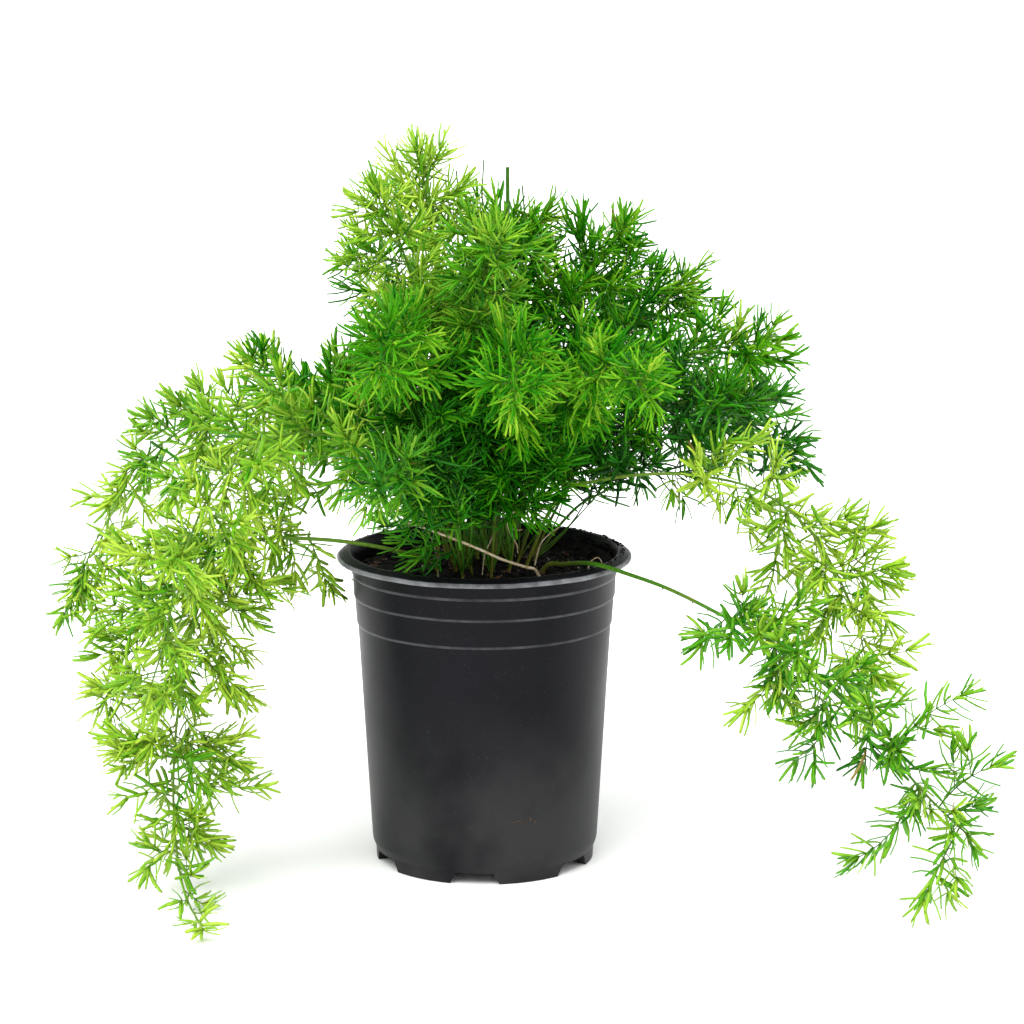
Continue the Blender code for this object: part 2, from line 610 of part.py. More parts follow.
def make_stems(parts, holes):
    materials = {}
    space = Space()
    lines = {}
    for name, stem in STEMS.items():
        line, rise = stem_line(stem)
        lines[name] = line
        make_hole(name, stem, rise, holes)
        for a, b in zip(line, line[1:]):
            space.fill(name, a, b, stem["radius"])
    shapes = (cone_mesh("twig", TWIG_RADIUS, TWIG_RADIUS), cone_mesh("needle", NEEDLE_ROOT_RADIUS, 0.0))
    for name, stem in STEMS.items():
        tube = stem_tube(name, stem, lines[name], parts)
        if stem["twig"]:
            pieces = new_collection(f"{name}_pieces")
            grow_foliage(name, stem, lines[name], space, shapes, pieces)
            join_in(tube, pieces)
        colour = stem["colour"]
        if colour not in materials:
            materials[colour] = new_material("foliage" if colour != STRAW else "dry_straw", colour, 0.5)
        tube.data.materials.append(materials[colour])


def main():
    clear_scene()
    parts = new_collection("sprengeri_asparagus_fern")
    cutters = new_collection("cutters")
    holes = bpy.data.collections.new("soil_cutters")
    cutters.children.link(holes)
    make_pot(parts, cutters)
    make_stems(parts, holes)
    make_soil(parts, holes)


main()
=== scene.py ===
import math
import random

import bpy
from mathutils import Matrix, Vector, noise


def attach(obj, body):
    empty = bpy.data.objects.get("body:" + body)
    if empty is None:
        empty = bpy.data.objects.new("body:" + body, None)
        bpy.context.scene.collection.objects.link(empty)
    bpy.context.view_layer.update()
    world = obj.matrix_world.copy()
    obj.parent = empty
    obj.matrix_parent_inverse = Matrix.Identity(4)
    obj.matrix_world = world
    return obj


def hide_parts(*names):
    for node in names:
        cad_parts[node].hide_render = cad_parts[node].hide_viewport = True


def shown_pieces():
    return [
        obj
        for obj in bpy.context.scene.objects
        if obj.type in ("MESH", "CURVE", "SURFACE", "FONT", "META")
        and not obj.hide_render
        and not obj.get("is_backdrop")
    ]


# Sprengeri asparagus fern in its nursery pot. Sizes in the dictionaries are in mm; mm turns them to metres.
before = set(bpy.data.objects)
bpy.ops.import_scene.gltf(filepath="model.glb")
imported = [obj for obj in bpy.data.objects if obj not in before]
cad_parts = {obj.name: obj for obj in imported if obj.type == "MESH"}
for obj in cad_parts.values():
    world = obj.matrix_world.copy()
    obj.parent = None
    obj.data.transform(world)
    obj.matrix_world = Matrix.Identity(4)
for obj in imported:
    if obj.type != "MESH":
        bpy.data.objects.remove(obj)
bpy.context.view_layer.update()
mm = 0.001
goldenAngle = 137.5  # from one twig or whorl to the next, round what carries them

# Rooting and reach of the foliage, as on the solids that these pieces stand for
growth = {
    "soilLevel": 165.0,
    "heap": 6.0,  # of soil, round the crown
    "heapRadius": 36.0,
    "lump": 0.9,
    "holeDepth": 12.0,
    "gap": 0.3,  # between a stem and its hole, and the soil and the pot
    "straightFoot": 6.0,
    "uprightness": 0.8,
    "curveSteps": 8,
    "bareTip": 6.0,
    "lowest": 2.5,  # foliage stays this far above the surface
}

# What a stem has unless its own row says otherwise
usual = {
    "radius": 1.0, "bare": 60, "twig": 42, "step": 10, "taper": 0.7, "lush": 1.0, "slot": "foliage_mid",
    "sprays": [], "shoots": [],
}

# Each stem: its foot on the soil, its thickness, how far up it is bare, its longest twig, the distance
# between its twigs, how much they shorten to its tip, how lush it is, how young its green is (0 old and deep,
# 1 new and yellow), its material slot and the points it passes. Sprays and bare shoots are listed one by one:
# the distance up the stem, then the tip's x, y and z.
stems = {
    "stem_left_trailing": dict(
        foot=(-26, -18), radius=1.3, bare=125, twig=40, step=13, taper=1.12, lush=0.35, young=0.75,
        slot="foliage_light",
        path=[(-46, -28, 181), (-74, -26, 186), (-100, -30, 189), (-121, -36, 190), (-138, -44, 185),
          (-151, -54, 168), (-160, -62, 140), (-166, -70, 105), (-169, -76, 68), (-168, -84, 36),
          (-164, -97, 15), (-158, -118, 7), (-152, -140, 6), (-147, -160, 6)],
        sprays=[(78, -87, 8, 152), (90, -104, -36, 171), (128, -110, -46, 164), (150, -128, -56, 149),
          (180, -128, -70, 110), (205, -158, -68, 107), (215, -210, -62, 113), (226, -184, -73, 86),
          (232, -133, -71, 88), (238, -199, -75, 88), (244, -196, -77, 72), (243, -139, -74, 75),
          (255, -124, -72, 60), (265, -194, -82, 56), (277, -178, -83, 42), (289, -150, -86, 32)]),
    "stem_left_arch": dict(
        foot=(-17, -8), radius=1.1, bare=100, twig=40, step=13, lush=0.3, young=0.75, slot="foliage_light",
        path=[(-24, -14, 205), (-46, -20, 216), (-68, -20, 219), (-104, -30, 217), (-139, -40, 198),
          (-174, -50, 153), (-193, -55, 126), (-211, -60, 100)],
        sprays=[(150, -116, -39, 186), (165, -126, -47, 169), (175, -197, -58, 192), (190, -135, -46, 156),
          (200, -209, -63, 145), (209, -190, -48, 184), (250, -210, -58, 130)]),
    "stem_left_back": dict(
        foot=(-22, 18), radius=1.1, bare=80, step=13, taper=0.78, lush=0.35, young=0.66,
        slot="foliage_light",
        path=[(-34, 27, 226), (-78, 70, 242), (-127, 115, 231), (-171, 150, 210), (-210, 175, 182),
          (-238, 188, 144), (-253, 194, 108)],
        sprays=[(366, -226, 190, 122), (372, -261, 196, 94), (378, -251, 193, 107), (384, -240, 193, 98)]),
    "stem_left_upper": dict(
        foot=(-15, 4), twig=32, lush=0.5, young=0.46,
        path=[(-24, 6, 228), (-64, 12, 250), (-103, 14, 264), (-131, 18, 282)]),
    "stem_left_mid": dict(
        foot=(-25, 8), radius=1.1, bare=70, twig=40, step=13, lush=0.35, young=0.64, slot="foliage_light",
        path=[(-38, 22, 226), (-82, 35, 248), (-128, 50, 250), (-169, 60, 236), (-207, 66, 208)],
        sprays=[(205, -178, 61, 250), (240, -217, 66, 188), (238, -201, 64, 222)]),
    "stem_left_front": dict(
        foot=(-16, -24), radius=1.1, bare=70, step=13, lush=0.35, young=0.68, slot="foliage_light",
        path=[(-40, -45, 228), (-81, -85, 257), (-117, -115, 257), (-141, -135, 235), (-156, -148, 200),
          (-165, -154, 160), (-176, -154, 126)],
        sprays=[(262, -182, -149, 205), (272, -187, -152, 188)]),
    "stem_top": dict(
        foot=(-4, 0), radius=1.1, twig=38, taper=0.55, young=0.76, slot="foliage_light",
        path=[(-8, 0, 244), (-20, -10, 307), (-29, -20, 360), (-34, -25, 401)],
        sprays=[(192, -49, -25, 396), (204, -13, -21, 380), (214, -37, -27, 403), (180, -16, -15, 366),
          (176, -41, -11, 370)]),
    "stem_top_left": dict(
        foot=(-9, -14), twig=38, young=0.68, slot="foliage_light",
        path=[(-20, -30, 262), (-34, -55, 322), (-45, -75, 362), (-54, -86, 386)],
        sprays=[(205, -57, -87, 390), (188, -66, -69, 362)]),
    "stem_top_left_low": dict(
        foot=(-9, 9), bare=55, twig=36, young=0.42,
        path=[(-27, 19, 262), (-54, 24, 312), (-72, 24, 338)]),
    "stem_top_mid": dict(
        foot=(3, 9), twig=38, taper=0.5, young=0.38,
        path=[(7, 25, 257), (9, 32, 312), (17, 34, 360)],
        sprays=[(150, 32, 30, 358), (158, 6, 27, 368), (140, 38, 34, 341), (150, 22, 11, 354),
          (130, 34, 2, 330), (162, 36, 32, 364), (154, -4, 30, 368)]),
    "stem_cut": dict(
        foot=(6, -3), radius=1.5, bare=500, twig=0, young=0.2, slot="foliage_dark",
        path=[(9, 4, 249), (13, 0, 317), (13, -5, 391)],
        shoots=[(128, 0, -5, 395), (120, -15, -5, 389), (140, 21, -5, 381)]),
    "stem_top_right": dict(
        foot=(11, 6), twig=40, taper=0.5, young=0.42,
        path=[(25, 15, 255), (51, 22, 315), (77, 22, 356)],
        sprays=[(150, 34, 9, 349), (156, 54, 14, 361), (170, 82, 25, 357), (146, 60, 36, 345),
          (162, 88, 12, 335), (130, 48, -12, 328)]),
    "stem_right_up": dict(
        foot=(15, 20), twig=40, young=0.36,
        path=[(37, 40, 246), (70, 68, 286), (98, 86, 306), (116, 96, 312)],
        sprays=[(172, 122, 85, 323), (160, 95, 80, 323), (148, 74, 78, 322), (176, 131, 99, 303),
          (166, 112, 90, 294)]),
    "stem_front_top": dict(
        foot=(0, -18), twig=36, young=0.48, slot="foliage_light",
        path=[(1, -46, 260), (-2, -78, 318), (4, -106, 352), (12, -128, 366)],
        sprays=[(188, -6, -102, 374), (198, 25, -113, 363), (180, 9, -105, 372)]),
    "stem_front_left": dict(
        foot=(-7, -28), bare=55, twig=38, young=0.38,
        path=[(-20, -60, 250), (-36, -110, 300), (-46, -150, 314), (-54, -185, 306)]),
    "stem_front_mid": dict(
        foot=(4, -34), bare=55, twig=38, young=0.34,
        path=[(9, -62, 244), (15, -112, 290), (17, -158, 304), (17, -196, 292)]),
    "stem_front_right": dict(
        foot=(14, -26), bare=55, twig=38, young=0.36,
        path=[(26, -52, 244), (52, -100, 290), (70, -138, 302), (86, -170, 290)]),
    "stem_front_low": dict(
        foot=(-12, -38), radius=0.9, bare=46, twig=36, young=0.34, slot="foliage_dark",
        path=[(-20, -62, 222), (-36, -100, 244), (-48, -132, 244), (-54, -156, 230)],
        sprays=[(26, -44, -42, 190), (20, -37, -46, 181), (38, -40, -58, 199)]),
    "stem_right_dark": dict(
        foot=(28, 2), lush=0.7, young=0.22, slot="foliage_dark",
        path=[(51, 5, 199), (71, 2, 212), (90, -2, 232), (117, -10, 254), (146, -18, 264)],
        sprays=[(52, 57, -1, 210), (130, 162, -24, 267)]),
    "stem_right_upper": dict(
        foot=(19, -3), lush=0.8, young=0.4,
        path=[(46, 0, 238), (86, 4, 272), (130, -4, 291), (160, -16, 294)],
        sprays=[(178, 165, -15, 286), (176, 150, -7, 296), (150, 132, 8, 292)]),
    "stem_right_arch": dict(
        foot=(24, -8), radius=1.15, bare=128, twig=34, step=11, lush=0.35, young=0.8, slot="foliage_light",
        path=[(42, -17, 211), (64, -22, 220), (91, -30, 225), (118, -40, 226), (150, -53, 220),
          (177, -68, 200), (196, -86, 168), (204, -98, 140), (207, -106, 112)],
        sprays=[(114, 103, -35, 217), (140, 129, -46, 213), (178, 150, -62, 160), (205, 209, -82, 206),
          (232, 217, -94, 186), (238, 161, -89, 152), (240, 217, -94, 157), (224, 178, -88, 189),
          (225, 209, -78, 193), (267, 202, -102, 161), (274, 227, -98, 142), (282, 204, -118, 137),
          (299, 204, -115, 106)]),
    "stem_right_trailing": dict(
        foot=(32, -18), radius=1.5, bare=147, twig=32, step=14, taper=0.9, lush=0.35, young=0.48,
        slot="foliage_dark",
        path=[(44, -28, 174), (60, -50, 179), (80, -70, 177), (100, -92, 174), (123, -115, 167),
          (153, -138, 155), (183, -160, 134), (206, -175, 113), (222, -186, 94), (237, -192, 79),
          (249, -193, 68)],
        sprays=[(145, 115, -121, 151), (150, 141, -129, 170), (155, 136, -132, 181), (166, 144, -153, 164),
          (184, 138, -147, 123), (193, 169, -168, 147), (210, 196, -158, 148), (226, 163, -167, 101),
          (233, 190, -181, 125), (247, 198, -182, 133), (259, 213, -193, 112), (262, 247, -179, 138),
          (285, 193, -189, 54), (292, 222, -200, 88), (300, 261, -193, 104), (306, 252, -196, 84),
          (312, 240, -203, 72), (317, 252, -196, 62), (315, 227, -195, 33)]),
    "stem_back_left": dict(
        foot=(-12, 28), lush=0.7, young=0.46,
        path=[(-28, 60, 222), (-62, 118, 240), (-94, 168, 232), (-116, 200, 204)]),
    "stem_back_mid": dict(
        foot=(2, 32), lush=0.8, young=0.4,
        path=[(6, 76, 248), (2, 128, 288), (-6, 172, 290), (-14, 203, 266)]),
    "stem_back_right": dict(
        foot=(13, 34), lush=0.7, young=0.26, slot="foliage_dark",
        path=[(32, 78, 234), (66, 128, 264), (98, 168, 262), (124, 196, 236)]),
    "stem_right_mid": dict(
        foot=(27, 14), lush=0.7, young=0.28, slot="foliage_dark",
        path=[(65, 36, 232), (114, 60, 248), (150, 78, 236), (178, 88, 208)],
        sprays=[(182, 173, 78, 239), (162, 162, 69, 253), (190, 188, 94, 206)]),
    "stem_back_trailing": dict(
        foot=(-4, 43), radius=1.1, bare=90, lush=0.4, young=0.34, slot="foliage_dark",
        path=[(-8, 68, 190), (-14, 96, 200), (-24, 130, 194), (-34, 158, 168), (-42, 176, 130),
          (-46, 186, 88), (-48, 194, 50)]),
}
stems = {name: {**usual, **stem} for name, stem in stems.items()}


# Colours and materials

def toLinear(hexColour):
    # "#rrggbb" as it is seen, to the linear colour that a shader takes
    parts = [int(hexColour[i:i + 2], 16) / 255 for i in (1, 3, 5)]
    return tuple(c / 12.92 if c <= 0.04045 else ((c + 0.055) / 1.055) ** 2.4 for c in parts) + (1.0,)


def addNode(tree, kind, output, values=None, links=None, stops=(), **settings):
    # One shader node: its sockets' values, the sockets that feed it, a ramp's stops and its other settings.
    # Gives back the output asked for.
    node = tree.nodes.new("ShaderNode" + kind)
    for key, value in settings.items():
        setattr(node, key, value)
    for socket, value in (values or {}).items():
        node.inputs[socket].default_value = value
    for socket, source in (links or {}).items():
        tree.links.new(source, node.inputs[socket])
    for number, (position, colour) in enumerate(stops):
        points = node.color_ramp.elements
        point = points[number] if number < 2 else points.new(position)
        point.position = position
        point.color = toLinear(colour)
    return node.outputs[output]


def newMaterial(name, **constants):
    # A material, its tree, its shader, and the place on the piece, which its patterns follow
    material = bpy.data.materials.new(name)
    material.use_nodes = True
    tree = material.node_tree
    shader = tree.nodes["Principled BSDF"]
    for socket, value in constants.items():
        shader.inputs[socket.replace("_", " ")].default_value = value
    return material, tree, shader, addNode(tree, "TexCoord", "Object")


# For a Mix node, whose colours go in at 6 and 7 and come out at 2
mixed = {"data_type": "RGBA"}
multiplied = {"data_type": "RGBA", "blend_type": "MULTIPLY"}


def makeGrainMaterial(name, grainSize, detail, stops, **constants):
    # A dry, matt finish that takes its colours from a grain of grainSize mm
    material, tree, shader, place = newMaterial(name, **constants)
    grain = addNode(tree, "TexNoise", "Fac", {"Scale": 1000 / grainSize, "Detail": detail}, {"Vector": place})
    base = addNode(tree, "ValToRGB", "Color", links={"Fac": grain}, stops=stops)
    tree.links.new(base, shader.inputs["Base Color"])
    return material


def makeNeedleMaterial(name, sheen):
    # Living cladodes: waxy, a little see-through, deep green when old, yellow-green when new, dry at the tip
    material, tree, shader, place = newMaterial(
        name, Roughness=0.42, Specular_IOR_Level=sheen, Subsurface_Weight=0.1, Subsurface_Scale=0.0012,
        Subsurface_Radius=(0.6, 1.0, 0.2))
    # Young also carries painted shade: needles deep in the bush are given its older, darker greens
    young = addNode(tree, "Attribute", "Fac", attribute_name="young")
    reach = addNode(tree, "Attribute", "Fac", attribute_name="reach")
    green = addNode(tree, "ValToRGB", "Color", links={"Fac": young}, stops=(
        (0.0, "#063c00"), (1.0, "#8a7a34"), (0.225, "#1b7101"), (0.45, "#489409"), (0.675, "#7bb023"),
        (0.9, "#a6c93c")))
    cloud = addNode(tree, "TexNoise", "Fac", {"Scale": 1000 / 6.0, "Detail": 3.0}, {"Vector": place})
    mottle = addNode(tree, "MapRange", "Result", {
        "From Min": 0.3, "From Max": 0.7, "To Min": 0.82, "To Max": 1.1}, {"Value": cloud})
    mottled = addNode(tree, "Mix", 2, {0: 1.0}, {6: green, 7: mottle}, **multiplied)
    ends = addNode(tree, "ValToRGB", "Color", links={"Fac": reach}, stops=(
        (0.0, "#e2e6a4"), (1.0, "#e6cb86"), (0.2, "#ffffff"), (0.88, "#ffffff")))
    base = addNode(tree, "Mix", 2, {0: 1.0}, {6: mottled, 7: ends}, **multiplied)
    tree.links.new(base, shader.inputs["Base Color"])
    return material


def makeStemMaterial():
    # Green wood of the stems: satin, speckled, turning brown in patches and near the soil
    material, tree, shader, place = newMaterial("green_stem_bark", Roughness=0.5, Specular_IOR_Level=0.2)
    young = addNode(tree, "Attribute", "Fac", attribute_name="young")
    woody = addNode(tree, "Attribute", "Fac", attribute_name="woody")
    green = addNode(tree, "ValToRGB", "Color", links={"Fac": young}, stops=(
        (0.0, "#275a0d"), (1.0, "#6c8e2b"), (0.5, "#407215")))
    patch = addNode(tree, "TexNoise", "Fac", {"Scale": 1000 / 14.0, "Detail": 2.0}, {"Vector": place})
    aged = addNode(tree, "MapRange", "Result", {
        "From Min": 0.5, "From Max": 0.75, "To Max": 0.4}, {"Value": patch})
    browning = addNode(tree, "Math", "Value", links={0: woody, 1: aged}, operation="MAXIMUM")
    coloured = addNode(tree, "Mix", 2, {7: toLinear("#7a6c2c")}, {0: browning, 6: green}, **mixed)
    fine = addNode(tree, "TexNoise", "Fac", {"Scale": 1000 / 1.6, "Detail": 2.0}, {"Vector": place})
    speckle = addNode(tree, "MapRange", "Result", {
        "From Min": 0.35, "From Max": 0.7, "To Min": 0.85, "To Max": 1.1}, {"Value": fine})
    base = addNode(tree, "Mix", 2, {0: 1.0}, {6: coloured, 7: speckle}, **multiplied)
    tree.links.new(base, shader.inputs["Base Color"])
    return material


def makePotMaterial():
    # Polypropylene with carbon black, injection moulded: satin, with dust specks; paler towards the foot as a
    # painted reflection of the floor, and pale on the lip's edge and the ledges as a painted highlight
    material, tree, shader, place = newMaterial("black_polypropylene_moulded", Specular_IOR_Level=0.11)
    paintedHighlight = addNode(tree, "Attribute", "Fac", attribute_name="paintedHighlight")
    height = addNode(tree, "SeparateXYZ", "Z", links={"Vector": place})
    # Noises of so many mm, for the blotches of the painted floor reflection and the tint, the dust, the
    # patches of the painted edge highlight and the ripples of the mould
    cloud, fine, highlightNoise, ripple = (
        addNode(tree, "TexNoise", "Fac", {"Scale": 1000 / size, "Detail": detail, "Roughness": rough},
                {"Vector": place})
        for size, detail, rough in ((60.0, 3.0, 0.5), (0.9, 2.0, 0.5), (17.0, 3.0, 0.6), (30.0, 1.0, 0.5)))
    low, uneven, specks, highlightBreaks, gloss = (
        addNode(tree, "MapRange", "Result",
                {"From Min": fromMin, "From Max": fromMax, "To Min": toMin, "To Max": toMax},
                {"Value": source}, interpolation_type=course)
        for source, fromMin, fromMax, toMin, toMax, course in (
            (height, 0.115, 0.02, 0.0, 0.85, "SMOOTHSTEP"), (cloud, 0.36, 0.58, 0.2, 1.2, "LINEAR"),
            (fine, 0.68, 0.82, 0.0, 0.3, "LINEAR"), (highlightNoise, 0.28, 0.58, 0.12, 1.0, "LINEAR"),
            (cloud, 0.3, 0.7, 0.36, 0.46, "LINEAR")))
    # Painted reflection of the floor: paler towards the foot, in broad blotches
    floorReflection = addNode(tree, "Math", "Value", links={0: low, 1: uneven}, operation="MULTIPLY")
    # Painted highlight: pale where the lip's edge and the ledges would catch the light, broken into patches
    edgeHighlight = addNode(tree, "Math", "Value", links={0: paintedHighlight, 1: highlightBreaks}, operation="MULTIPLY")
    base = addNode(tree, "ValToRGB", "Color", links={"Fac": cloud}, stops=(
        (0.3, "#05050a"), (0.7, "#0d0d13")))
    # The painted floor reflection, the dust and the painted edge highlight, one over the other
    for amount, colour in ((floorReflection, "#29292a"), (specks, "#716e68"), (edgeHighlight, "#7d7e82")):
        base = addNode(tree, "Mix", 2, {7: toLinear(colour)}, {0: amount, 6: base}, **mixed)
    bump = addNode(tree, "Bump", "Normal", {"Distance": 0.5 * mm, "Strength": 0.6}, {"Height": ripple})
    for source, socket in ((base, "Base Color"), (gloss, "Roughness"), (bump, "Normal")):
        tree.links.new(source, shader.inputs[socket])
    return material


def makeSoilMaterial():
    # Peat and composted bark, damp: nearly black, with paler fibres
    material, tree, shader, place = newMaterial("damp_potting_mix", Roughness=0.92, Specular_IOR_Level=0.25)
    grain = addNode(tree, "TexNoise", "Fac", {
        "Scale": 1000 / 2.4, "Detail": 5.0, "Roughness": 0.7}, {"Vector": place})
    base = addNode(tree, "ValToRGB", "Color", links={"Fac": grain}, stops=(
        (0.32, "#050302"), (0.76, "#423426"), (0.52, "#0d0906"), (0.66, "#1b130d")))
    tree.links.new(base, shader.inputs["Base Color"])
    bump = addNode(tree, "Bump", "Normal", {"Distance": 1.2 * mm}, {"Height": grain})
    tree.links.new(bump, shader.inputs["Normal"])
    return material


# Modelling helpers

def newObject(name, data):
    thing = bpy.data.objects.new(name, data)
    bpy.context.scene.collection.objects.link(thing)
    return thing


def startPiece(name):
    piece = bpy.context.object
    piece.name = name
    piece.data.name = name
    return piece


def editMode(on):
    bpy.ops.object.mode_set(mode="EDIT" if on else "OBJECT")


def selectOnly(*pieces):
    bpy.ops.object.select_all(action="DESELECT")
    for piece in pieces:
        piece.select_set(True)
    bpy.context.view_layer.objects.active = pieces[0]


def joined(*pieces):
    selectOnly(*pieces)
    bpy.ops.object.join()
    return pieces[0]


def extrude(*step):
    bpy.ops.mesh.extrude_region_move(TRANSFORM_OT_translate={"value": step})


def drawTurned(name, profile, steps):
    # A closed body of revolution: one point extruded along the profile, then spun round the Z axis
    bpy.ops.mesh.primitive_plane_add(size=mm, location=(0, 0, 0))
    piece = startPiece(name)
    editMode(True)
    bpy.ops.mesh.select_mode(type="VERT")
    bpy.ops.mesh.select_all(action="SELECT")
    bpy.ops.mesh.merge(type="CENTER")
    bpy.ops.transform.translate(value=(profile[0][0] * mm, 0, profile[0][1] * mm))
    for (r0, z0), (r1, z1) in zip(profile, profile[1:]):
        extrude((r1 - r0) * mm, 0, (z1 - z0) * mm)
    bpy.ops.mesh.select_all(action="SELECT")
    bpy.ops.mesh.spin(steps=steps, angle=2 * math.pi, center=(0, 0, 0), axis=(0, 0, 1))
    bpy.ops.mesh.select_all(action="SELECT")
    bpy.ops.mesh.remove_doubles(threshold=0.02 * mm)
    bpy.ops.mesh.normals_make_consistent(inside=False)
    editMode(False)
    return piece


def roundedProfile(points, steps=4):
    # Points of (radius, height, rounding): each corner with a rounding becomes a short curve
    rounded = []
    for i, (r, z, rounding) in enumerate(points):
        if rounding == 0 or i in (0, len(points) - 1):
            rounded.append((r, z))
            continue
        corner = Vector((r, z))
        before = Vector(points[i - 1][:2]) - corner
        after = Vector(points[i + 1][:2]) - corner
        reach = min(rounding, before.length * 0.49, after.length * 0.49)
        start, end = corner + before.normalized() * reach, corner + after.normalized() * reach
        for step in range(steps + 1):
            t = step / steps
            rounded.append(tuple(start * (1 - t) ** 2 + corner * 2 * t * (1 - t) + end * t * t))
    return rounded


def setAttribute(mesh, name, values):
    layer = mesh.attributes.get(name) or mesh.attributes.new(name, "FLOAT", "POINT")
    layer.data.foreach_set("value", values)


def takeModel(piece, top):
    # The corners, faces and height of a modelled shape, for its copies. The model itself is removed.
    points = [v.co.copy() for v in piece.data.vertices]
    model = {"points": points, "faces": [tuple(face.vertices) for face in piece.data.polygons], "top": top}
    bpy.data.objects.remove(piece, do_unlink=True)
    return model


def plantCopies(name, placings, material):
    # Copies of small models in one mesh. Each placing is a model, its matrix in metres and how young it is. A
    # corner's reach is how far up the model it is, from 0 to 1.
    points, faces, young, reach = [], [], [], []
    for model, matrix, tint in placings:
        first = len(points)
        points.extend(matrix @ p for p in model["points"])
        faces.extend([tuple(i + first for i in face) for face in model["faces"]])
        young.extend([tint] * len(model["points"]))
        reach.extend([min(1.0, max(0.0, p.z / model["top"])) for p in model["points"]])
    mesh = bpy.data.meshes.new(name)
    mesh.from_pydata(points, [], faces)
    setAttribute(mesh, "young", young)
    setAttribute(mesh, "reach", reach)
    mesh.materials.append(material)
    mesh.shade_smooth()
    return newObject(name, mesh)


def finishPiece(piece, replaced, slotName):
    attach(piece, "root")
    if replaced:
        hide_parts(replaced)


# Stems, twigs and needles

def soilHeight(x, y):
    # The heap and the lumps are those of the soil's solid
    heap = growth["heap"] * math.exp(-(x * x + y * y) / growth["heapRadius"] ** 2)
    lumps = math.sin(x * 0.31 + 0.6) * math.cos(y * 0.27 - 0.9) + 0.6 * math.sin(x * 0.17 - y * 0.43)
    return growth["soilLevel"] + heap + growth["lump"] * lumps


def smoothRoute(points):
    # Points of a Catmull-Rom curve through the given points
    ends = [points[0] * 2 - points[1], *points, points[-1] * 2 - points[-2]]
    route = []
    for a, b, c, d in zip(ends, ends[1:], ends[2:], ends[3:]):
        for step in range(growth["curveSteps"]):
            t = step / growth["curveSteps"]
            route.append(0.5 * (2 * b + (c - a) * t + (2 * a - 5 * b + 4 * c - d) * t ** 2
                                + (3 * b - a - 3 * c + d) * t ** 3))
    return [*route, points[-1]]


def stemRoute(stem):
    x, y = stem["foot"]
    foot = Vector((x, y, soilHeight(x, y)))
    passes = [Vector(point) for point in stem["path"]]
    rise = ((passes[0] - foot).normalized() + Vector((0, 0, growth["uprightness"]))).normalized()
    start = foot - rise * (growth["holeDepth"] - growth["gap"])
    return smoothRoute([start, foot + rise * growth["straightFoot"], *passes])


def routeLength(route):
    return sum((b - a).length for a, b in zip(route, route[1:]))


def along(route, distance):
    # The point and the direction at a distance from the route's start
    for a, b in zip(route, route[1:]):
        step = (b - a).length
        if distance <= step:
            return a.lerp(b, distance / step), (b - a).normalized()
        distance -= step
    return route[-1].copy(), (route[-1] - route[-2]).normalized()


def leaning(direction, spin, lean):
    # A direction that leans away from another, turned round it by the spin, both in degrees
    level = direction.cross(Vector((0, 0, 1)))
    level = level.normalized() if level.length > 0.05 else Vector((1, 0, 0))
    across = level.cross(direction).normalized()
    spin, lean = math.radians(spin), math.radians(lean)
    side = level * math.cos(spin) + across * math.sin(spin)
    return (direction * math.cos(lean) + side * math.sin(lean)).normalized()


def keptOffGround(root, direction, length):
    # Foliage that would reach the ground lies along it
    lowest = min(0.9, (growth["lowest"] - root.z) / length)
    if direction.z >= lowest:
        return direction
    level = Vector((direction.x, direction.y, 0)).normalized() * math.sqrt(1 - lowest * lowest)
    return Vector((level.x, level.y, lowest))


# The room of the pot and its soil, which foliage keeps out of
room = {
    "top": 178.0,
    "radius": 85.0,
    "lipFrom": 168.0,  # from here up there is air between the soil and the lip
    "lipInside": 70.0,
    "skin": 0.5,  # above the soil
    "foot": 65.0,  # radius round the pot's foot, and what each mm up adds to it
    "widening": 0.06,
}


def inPotOrSoil(point):
    radius = math.hypot(point.x, point.y)
    if point.z > room["top"] or radius > room["radius"]:
        return False
    if point.z > room["lipFrom"]:
        return radius > room["lipInside"] or point.z < soilHeight(point.x, point.y) + room["skin"]
    return radius < room["foot"] + point.z * room["widening"]


def reachesPot(start, end):
    return any(inPotOrSoil(start.lerp(end, step / 5)) for step in range(6))


needle = {
    "length": 16.0,
    "width": 2.2,
    "depth": 1.0,
    "stations": ((0.0, 0.5), (0.2, 0.94), (0.6, 1.0), (0.93, 0.8)),  # share of the length, share of the width
    # How far each model's tip is bent, sideways and forwards
    "sweeps": ((0.0, 1.0), (2.8, 2.2), (-3.0, 3.2), (4.6, 4.4), (-4.4, 5.4), (1.2, 7.4)),
}
triangleWidth, triangleDepth = 0.866, 0.75  # of a three-cornered face of radius 0.5


def modelNeedle(sideways, forwards):
    # One strap-like needle, flat with a keel beneath: a three-cornered face extruded and shaped station by
    # station, curved sideways like a sickle and forwards to the twig's end
    bpy.ops.mesh.primitive_circle_add(vertices=3, radius=0.5, fill_type="NGON")
    piece = startPiece("needle")
    editMode(True)
    bpy.ops.mesh.select_all(action="SELECT")
    share, width = needle["stations"][0]
    bpy.ops.transform.resize(
        value=(width * needle["width"] / triangleWidth, width * needle["depth"] / triangleDepth, 1))
    for nextShare, nextWidth in needle["stations"][1:]:
        curve = nextShare ** 2 - share ** 2
        extrude(sideways * curve, forwards * curve, (nextShare - share) * needle["length"])
        ratio = nextWidth / width
        bpy.ops.transform.resize(value=(ratio, ratio ** 0.5, 1))
        share, width = nextShare, nextWidth
    curve = 1 - share ** 2
    extrude(sideways * curve, forwards * curve, (1 - share) * needle["length"])
    bpy.ops.mesh.merge(type="CENTER")
    bpy.ops.mesh.select_all(action="SELECT")
    bpy.ops.mesh.normals_make_consistent(inside=False)
    editMode(False)
    return takeModel(piece, needle["length"])


spines = {
    "radius": 0.45,
    "length": 2.4,
    "first": 24,  # up the stem, and then one each step
    "step": 11,
    "uneven": 2,
    "lean": (70, 100),
    "left": 30,  # of the stem's length, with no spine
}


